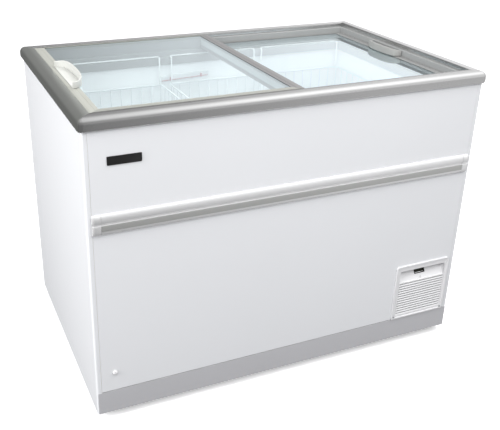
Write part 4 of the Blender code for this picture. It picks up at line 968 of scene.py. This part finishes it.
def recess_scoop():
    """Folded sloping back of the upper recess, and its two cheeks; (y, z) sections."""
    fold = [(FRONT - 0.0022, RC_Z1 + 0.0007), (FRONT + 0.0218, RC_Z1 + 0.0007),
            (FRONT + 0.0218, RC_Z1 - 0.0010), (FRONT + 0.0177, RC_Z1 - 0.0086),
            (FRONT + 0.0013, RC_Z0 + 0.0005), (FRONT - 0.0015, RC_Z0 - 0.0004)]
    fold = bend_flat(fold, [0, 0.0015, 0.0008, 0, 0.0030, 0], 4)
    cheek = [(FRONT - 0.0020, RC_Z1 + 0.0012), (FRONT + 0.0220, RC_Z1 + 0.0012),
             (FRONT + 0.0220, RC_Z1 - 0.0010), (FRONT + 0.0005, RC_Z0 - 0.0008),
             (FRONT - 0.0020, RC_Z0 - 0.0008)]
    return [prism(thicken(fold, 0.0014), "X", RC_X0 - 0.0012, RC_X1 + 0.0012),
            *[prism(cheek, "X", x, x + 0.0014) for x in (RC_X0 - 0.0014, RC_X1)]]


def louvres():
    pitch = (LV_Z1 - LV_Z0) / SLATS
    slats = [prism(shifted(SLAT, FRONT, LV_Z0 + (i + 0.5) * pitch), "X",
                   LV_X0 - 0.0010, LV_X1 + 0.0010, angle=50) for i in range(SLATS)]
    mullions = [box(x - 0.0008, x + 0.0008, FRONT + y, FRONT + 0.0056,
                    LV_Z0 - 0.0010, LV_Z1 + 0.0010, 0.0002, 1)
                for x, y in ((LV_X0 - 0.0006, -0.0010), ((LV_X0 + LV_X1) / 2, 0.0018),
                             (LV_X1 + 0.0006, -0.0010))]
    return slats + mullions


def in_shade(c):
    """Deep faces of the louvre, and those at the top of the recess: these get painted shade."""
    if c.y <= FRONT + 0.0010:
        return False
    louvre = LV_X0 < c.x < LV_X1 and LV_Z0 - 0.001 < c.z < LV_Z1 + 0.001
    recess = (RC_X0 - 0.002 < c.x < RC_X1 + 0.002
              and RC_Z1 - 0.0088 < c.z < RC_Z1 + 0.0002)
    return louvre or recess


# Frame of the recess's sloping face: x across, y up the slope, z out of it
slope_top = Vector((0, FRONT + 0.0210, RC_Z1 - 0.0010))
slope_foot = (FRONT + 0.0005, RC_Z0 + 0.0005)
uphill = (slope_top - Vector((0, *slope_foot))).normalized()
out_of = Vector((0, -uphill.z, uphill.y))
slope_turn = Matrix(((1, 0, 0), (0, uphill.y, out_of.y), (0, uphill.z, out_of.z))).to_4x4()


def on_slope(mesh, x, distance):
    """Mesh set on the slope at x, a distance up from its foot."""
    at = Vector((x, *slope_foot)) + uphill * distance
    return moved(mesh, Matrix.Translation(at) @ slope_turn)


DISPLAY_AT, BUTTON_AT = (0.4600, 0.0290), (0.4610, 0.0065)

button_collar = lathe([(0.0062, 0.0000), (0.0060, 0.0009), (0.0052, 0.0011), (0.0045, 0.0006),
                       (0.0045, -0.0006), (0.0062, -0.0006)], 28)
grille = merged([*raised_frame(), *recess_scoop(), *louvres(),
                 on_slope(button_collar, *BUTTON_AT)])
moulding = place("grille_moulding", grille, PLASTIC, "grille_panel")
# Painted shade on the louvre's deep faces and the recess's top
paint_faces(moulding, RECESS_PAINTED_SHADE, in_shade)

bezel = prism(rounded_rectangle(-0.0192, 0.0192, -0.0112, 0.0112, (0.0014,) * 4, 4), "Z",
              0.0003, 0.0018, bevel=0.0004,
              holes=(rounded_rectangle(-0.0165, 0.0165, -0.0088, 0.0088, (0.0008,) * 4, 3),))
rear_box = box(-0.0175, 0.0175, -0.0095, 0.0095, -0.0260, 0.0004, 0.0006)
keys = [box(x - 0.0016, x + 0.0016, -0.0084, -0.0072, 0.0001, 0.0017, 0.0003)
        for x in (0.0060, 0.0105, 0.0148)]
place("controller_case", on_slope(merged([bezel, rear_box, *keys]), *DISPLAY_AT), CASE,
      "temperature_controller")
lens = box(-0.0164, 0.0164, -0.0068, 0.0087, 0.0005, 0.0013, 0.0003)
place("controller_lens", on_slope(lens, *DISPLAY_AT), DISPLAY,
      "temperature_controller")
button = lathe([(0, 0.0015), (0.0018, 0.0014), (0.0032, 0.0011), (0.0038, 0.0006),
                (0.0040, 0.0), (0.0040, -0.0045), (0, -0.0045)], 28)
place("power_button_cap", on_slope(button, *BUTTON_AT), BUTTON,
      "power_button", "button")

for side, x in (("left", 0.3730), ("right", 0.5500)):
    screw = lathe([(0, 0.0022), (0.0012, 0.0021), (0.0022, 0.0017), (0.0030, 0.0010),
                   (0.0034, 0.0003), (0.0035, 0.0), (0.0017, 0.0), (0.0017, -0.0105),
                   (0, -0.0120)], 24)
    for half_x, half_y in ((0.0018, 0.0004), (0.0004, 0.0018)):  # cross slot
        screw = cut(screw, box(-half_x, half_x, -half_y, half_y, 0.0012, 0.0040))
    moved(screw, Matrix.Translation((x, FRONT - 0.0033, 0.0775)) @ AXES["Y"])
    name = "grille_screw_" + side
    place(name + "_head", screw, ZINC, name)

# ---------------------------------------------------------------- drain cap
RIBS, RIB_RING = 18, 0.0066
cap_parts = [lathe([(0, 0.0046), (0.0030, 0.0046), (0.0050, 0.0043), (0.0062, 0.0036),
                    (0.0066, 0.0026), (0.0067, 0.0010), (0.0075, 0.0008), (0.0075, 0.0),
                    (0.0053, 0.0), (0.0053, -0.0175), (0.0048, -0.0180), (0, -0.0180)], 36)]
for k in range(RIBS):
    turn = 2 * math.pi * k / RIBS
    x, y = RIB_RING * math.cos(turn), RIB_RING * math.sin(turn)
    cap_parts.append(tube([(x, y, 0.0009), (x, y, 0.0034)], 0.0005, 6))
cap_parts.append(box(-0.0045, 0.0045, -0.0009, 0.0009, 0.0040, 0.0050, 0.0004))
cap_place = Matrix.Translation((-0.527, FRONT - GAP, 0.127)) @ AXES["Y"]
place("drain_cap_knob", moved(merged(cap_parts, 40), cap_place), PLASTIC,
      "drain_cap", "drain_cap_body")

# ---------------------------------------------------------------- rear panel
# Hood section: (y behind the panel, z)
HOOD = [(0.0001, 0.0100), (0.0018, 0.0094), (0.0036, 0.0078), (0.0046, 0.0054),
        (0.0050, 0.0026)]
hoods = []
for i in range(8):
    z = 0.105 + 0.020 * i
    hood = shifted(HOOD, HY, z)
    hoods.append(prism(thicken(hood, 0.0009), "X", 0.3145, 0.5355, angle=50))
    for x in (0.3136, 0.5354):
        hoods.append(prism([*hood, (HY + 0.0001, z + 0.0026)], "X", x, x + 0.0010))
rivets = []
for z, x in product((0.050, 0.300, 0.540, 0.780), (-0.545, 0.545)):
    rivet = lathe([(0, 0.0016), (0.0020, 0.0013), (0.0032, 0.0005), (0.0034, 0.0001),
                   (0.0034, -0.0002), (0, -0.0002)], 16)
    facing_rear = Matrix.Rotation(-math.pi / 2, 4, "X")
    rivets.append(moved(rivet, Matrix.Translation((x, HY, z)) @ facing_rear))
place("rear_panel_sheet", merged([cad_mesh("rear_panel"), *hoods, *rivets]), WHITE,
      "rear_panel")

# ---------------------------------------------------------------- lead and plug
lead_z = PAN_Z + GAP + 0.070
lead_y = HY + 0.0046  # where it lies against the rear
PLUG_X, EXIT_X, EXIT_Z = 0.300, 0.520, 0.085
lead_path = [
    (0.4554, 0.081, lead_z), (0.500, 0.081, lead_z), (0.528, 0.110, PAN_Z + GAP + 0.030),
    (0.528, 0.300, EXIT_Z), (EXIT_X, 0.345, EXIT_Z), (EXIT_X, lead_y, EXIT_Z),
    (EXIT_X, lead_y, 0.250), (0.440, lead_y, 0.400), (PLUG_X, lead_y, 0.400),
    (PLUG_X, lead_y, 0.300), (PLUG_X, lead_y, 0.282)]
lead_bends = [0, 0.015, 0.02, 0.02, 0.02, 0.0042, 0.05, 0.05, 0.05, 0.02, 0]
lead = tube(bend(lead_path, lead_bends, 6), 0.0036, 14)
corner = 0.003
plug = prism([*arc(0.284 + corner, 0.240 + corner, corner, 180, 270, 4),
              *arc(0.316 - corner, 0.240 + corner, corner, 270, 360, 4),
              (0.316, 0.258), (0.318, 0.264), (0.3085, 0.288), (0.2915, 0.288),
              (0.282, 0.264), (0.284, 0.258)],
             "Y", HY + 0.0005, HY + 0.0145, bevel=0.0018, segs=3)
relief = [lathe([(0.0036, 0.0), (0.0062, 0.0), (0.0062, 0.0022), (0.0036, 0.0022)], 20,
                at=(PLUG_X, lead_y + 0.0026, 0.2885 + 0.0042 * k)) for k in range(4)]
grommet = lathe([(0.0060, -0.0025), (0.0100, -0.0025), (0.0100, -0.0012), (0.0064, -0.0010),
                 (0.0064, 0.0006), (0.0098, 0.0010), (0.0092, 0.0028), (0.0060, 0.0034)],
                28, "Y", (EXIT_X, HY, EXIT_Z))
place("power_cord_lead", merged([lead, plug, *relief, grommet], 40), CORD,
      "power_cord")
pins = [lathe([(0, -0.0180), (0.0018, -0.0172), (0.0024, -0.0150), (0.0024, 0.0015),
               (0, 0.0015)], 16, at=(PLUG_X + e * 0.0095, HY + 0.0075, 0.240))
        for e in (-1, 1)]
place("power_cord_pins", merged(pins), ZINC, "power_cord")

# ---------------------------------------------------------------- base pan
CASTOR_X, CASTOR_Y = 0.500, 0.285
bolts = []
for sx, sy, bolt_x, bolt_y in product((-1, 1), repeat=4):
    bolt = prism(hexagon(0.0050), "Z", PAN_UNDERSIDE - 0.0032, PAN_Z - 0.0046, bevel=0.0004,
                 segs=1)
    at = (sx * CASTOR_X + bolt_x * 0.038, sy * CASTOR_Y + bolt_y * 0.029, 0)
    bolts.append(moved(bolt, Matrix.Translation(at)))
place("base_frame_pan", merged([cad_mesh("base_frame"), *bolts]), ZINC,
      "base_frame")

# ---------------------------------------------------------------- castors
CASTOR_TOP = PAN_UNDERSIDE - GAP
WHEEL_RADIUS, FLOOR_Z, TRAIL = 0.0315, -0.025, 0.028
AXLE_Z = FLOOR_Z + WHEEL_RADIUS
# Turned profiles, (radius, z)
SWIVEL = [(0, -0.0046), (0.0150, -0.0046), (0.0196, -0.0040), (0.0208, -0.0028),
          (0.0210, -0.0018), (0.0200, -0.0014), (0.0208, -0.0010), (0.0206, -0.0001),
          (0.0062, -0.0001), (0.0060, 0.0040), (0.0052, 0.0047), (0, 0.0047)]
HALF_TYRE = [(0.0242, 0.0096), (0.0262, 0.0104), (0.0290, 0.0108), (0.0306, 0.0099),
             (0.0314, 0.0084), (WHEEL_RADIUS, 0.0060), (WHEEL_RADIUS, 0.0004)]
HALF_HUB = [(0.0242, 0.0090), (0.0225, 0.0098), (0.0205, 0.0060), (0.0120, 0.0060),
            (0.0105, 0.0112), (0.0046, 0.0114)]


def castor_housing(axle_y, axle_z):
    """Swivel, fork, nuts and axle, drawn down from the mounting face."""
    parts = [lathe(SWIVEL, 36)]
    leg = [(-0.0165, -0.0012), (0.0165, -0.0012), (0.0172 if axle_y > 0 else 0.010, -0.014),
           (axle_y + 0.0092, axle_z - 0.0010), (axle_y + 0.0066, axle_z - 0.0066),
           (axle_y, axle_z - 0.0094), (axle_y - 0.0066, axle_z - 0.0066),
           (axle_y - 0.0092, axle_z - 0.0010), (-0.0172 if axle_y < 0 else -0.010, -0.014)]
    for e in (-1, 1):
        parts.append(prism(leg, "X", *sorted((e * 0.0130, e * 0.0154)), bevel=0.0005))
        parts.append(prism(hexagon(0.0048, axle_y, axle_z), "X",
                           *sorted((e * 0.0152, e * 0.0184)), bevel=0.0004, segs=1))
    parts.append(box(-0.0150, 0.0150, -0.0150, 0.0150, -0.0062, -0.0040, 0.0008))
    parts.append(lathe([(0, 0.0180), (0.0030, 0.0180), (0.0030, -0.0180), (0, -0.0180)], 16,
                       "X", (0, axle_y, axle_z)))
    return merged(parts, 35)


def wheel_hub():
    spokes = [moved(box(-0.0085, 0.0085, -0.0010, 0.0010, 0.0108, 0.0218, 0.0004, 1),
                    Matrix.Rotation(math.pi * k / 3, 4, "X")) for k in range(6)]
    return merged([lathe(mirrored(HALF_HUB), 40, "X"), *spokes])


for end, sy in (("front", -1), ("rear", 1)):
    for side, sx in LEFT_RIGHT:
        name = f"castor_{end}_{side}"
        axle_y = -sy * TRAIL  # the wheels trail towards the middle
        place(name + "_housing", castor_housing(axle_y, AXLE_Z - CASTOR_TOP), ZINC,
              name + "_fork", name,
              (sx * CASTOR_X, sy * CASTOR_Y, CASTOR_TOP))
        tyre = lathe(mirrored(HALF_TYRE, [(WHEEL_RADIUS - 0.0006, 0.0)]), 48, "X")
        for part, mesh, material in (("_tyre", tyre, RUBBER), ("_hub", wheel_hub(), HUB)):
            place(name + part, mesh, material, name + "_wheel",
                  name + "_roller", (sx * CASTOR_X, sy * CASTOR_Y + axle_y, AXLE_Z))

# ---------------------------------------------------------------- camera
# Ahead of the front, left of the middle and above, looking down to the rear right
yaw, pitch, roll = math.radians(23.31), math.radians(24.42), math.radians(0.83)
forward = Vector((math.sin(yaw) * math.cos(pitch), math.cos(yaw) * math.cos(pitch),
                  -math.sin(pitch)))
right = Vector((math.cos(yaw), -math.sin(yaw), 0))
up = right.cross(forward)
camera_x = right * math.cos(roll) + up * math.sin(roll)
camera_y = -right * math.sin(roll) + up * math.cos(roll)
camera = bpy.data.cameras.new("camera")
camera_ob = bpy.data.objects.new("camera", camera)
bpy.context.scene.collection.objects.link(camera_ob)
pose = Matrix((camera_x, camera_y, -forward)).transposed().to_4x4()
pose.translation = ORIGIN + Vector((-0.9348, -1.5905 - HY, 1.4029))
camera_ob.matrix_world = pose
camera.sensor_width = 36
camera.lens = 53.7696
camera.shift_x = 0.0746
camera.shift_y = -0.0486
camera.clip_start = 0.05
bpy.context.scene.camera = camera_ob

# ---------------------------------------------------------------- world
# Brightness by height of the ray, from straight down (0) to straight up (1)
SKY_DIFFUSE = ((0.0, 0.16), (0.45, 0.13), (0.52, 0.12), (0.66, 0.20), (0.74, 0.55),
               (0.84, 1.0), (1.0, 1.0))
SKY_GLOSSY = ((0.0, 0.30), (0.40, 0.30), (0.50, 0.28), (0.56, 0.34), (0.62, 0.50),
              (0.67, 0.42), (0.71, 0.39), (0.78, 0.48), (0.88, 0.78), (0.95, 1.0), (1.0, 1.0))


def sky(tree, height, points, strength):
    node = tree.nodes.new("ShaderNodeValToRGB")
    tree.links.new(height, node.inputs[0])
    stops = node.color_ramp.elements
    for stop, (position, value) in zip(stops, (points[0], points[-1])):
        stop.position, stop.color = position, (value, value, value * 1.01, 1)
    for position, value in points[1:-1]:
        stops.new(position).color = (value, value, value * 1.01, 1)
    return add(tree, "Background", {0: node.outputs[0], 1: strength})


def studio_world():
    """White to the camera; soft skies for diffuse and for mirrored light."""
    world = bpy.data.worlds.new("studio")
    bpy.context.scene.world = world
    tree, output = blank_tree(world, "ShaderNodeOutputWorld")
    rays = add(tree, "LightPath").node.outputs
    white = add(tree, "Background", {0: (1, 1, 1, 1), 1: 1.0})
    ray = add(tree, "TexCoord", output="Generated")
    axes = add(tree, "SeparateXYZ", {0: ray}).node.outputs
    height = add(tree, "MapRange", {"From Min": -1, "From Max": 1, "Value": axes["Z"]})
    # Mirrored light grows brighter towards the right
    rightward = add(tree, "MapRange", {"From Min": 0.15, "From Max": 0.60, "To Min": 0.62,
                                       "To Max": 2.10, "Value": axes["X"]})
    diffuse = sky(tree, height, SKY_DIFFUSE, 1.15)
    glossy = sky(tree, height, SKY_GLOSSY, rightward)
    unseen = add(tree, "MixShader", {0: rays["Is Glossy Ray"], 1: diffuse, 2: glossy})
    tree.links.new(add(tree, "MixShader", {0: rays["Is Camera Ray"], 1: unseen, 2: white}),
                   output)


studio_world()


# ---------------------------------------------------------------- lights
def area(name, at, target, size, power):
    """Rectangular light aimed at a target, left out of reflections."""
    light = bpy.data.lights.new(name, "AREA")
    light.energy = power
    light.shape = "RECTANGLE"
    light.size, light.size_y = size
    ob = bpy.data.objects.new(name, light)
    bpy.context.scene.collection.objects.link(ob)
    ob.location = at
    ob.rotation_euler = (Vector(target) - Vector(at)).to_track_quat("-Z", "Y").to_euler()
    ob.visible_glossy = False
    return ob


area("overhead_softbox", at=(0.8, -0.5, 2.9), target=(0.1, 0, 0.6), size=(3.0, 2.4), power=60)
area("left_softbox", at=(-2.9, -0.6, 1.6), target=(-0.4, 0, 0.5), size=(1.8, 1.8), power=90)
area("front_top", at=(0.1, -2.3, 2.15), target=(0.1, -0.3, 0.75), size=(1.2, 1.2), power=24)
area("rear_softbox", at=(0.5, 3.4, 1.1), target=(0.1, 0.3, 0.45), size=(1.6, 1.6), power=32)
well = area("well_glow", at=(-0.16, 0.0, 0.829), target=(-0.16, 0.0, 0.2), size=(0.66, 0.48),
            power=1.05)
well.visible_camera = False


# ---------------------------------------------------------------- floor
def floor_material():
    """Pale to the camera, darker to other rays, and clear from below."""
    material = bpy.data.materials.new("pale_floor")
    tree, output = blank_tree(material, "ShaderNodeOutputMaterial")
    pale = add(tree, "BsdfPrincipled", {"Base Color": (0.86, 0.86, 0.865, 1),
                                        "Roughness": 0.8})
    dark = add(tree, "BsdfPrincipled", {"Base Color": (0.20, 0.20, 0.205, 1),
                                        "Roughness": 0.8})
    glow = add(tree, "Emission", {"Strength": 0.35})
    lit = add(tree, "AddShader", {0: pale, 1: glow})
    seen = add(tree, "LightPath", output="Is Camera Ray")
    top = add(tree, "MixShader", {0: seen, 1: dark, 2: lit})
    below = add(tree, "NewGeometry", output="Backfacing")
    clear = add(tree, "BsdfTransparent")
    tree.links.new(add(tree, "MixShader", {0: below, 1: top, 2: clear}), output)
    return material


floor_mesh = bpy.data.meshes.new("floor")
floor_mesh.from_pydata([(-30, -30, 0), (30, -30, 0), (30, 30, 0), (-30, 30, 0)], [],
                       [(0, 1, 2, 3)])
floor = bpy.data.objects.new("studio_floor", floor_mesh)
bpy.context.scene.collection.objects.link(floor)
floor_mesh.materials.append(floor_material())
floor.visible_glossy = False

view = bpy.context.scene.view_settings
view.view_transform = "Standard"
view.look = "None"
view.exposure = 0.0
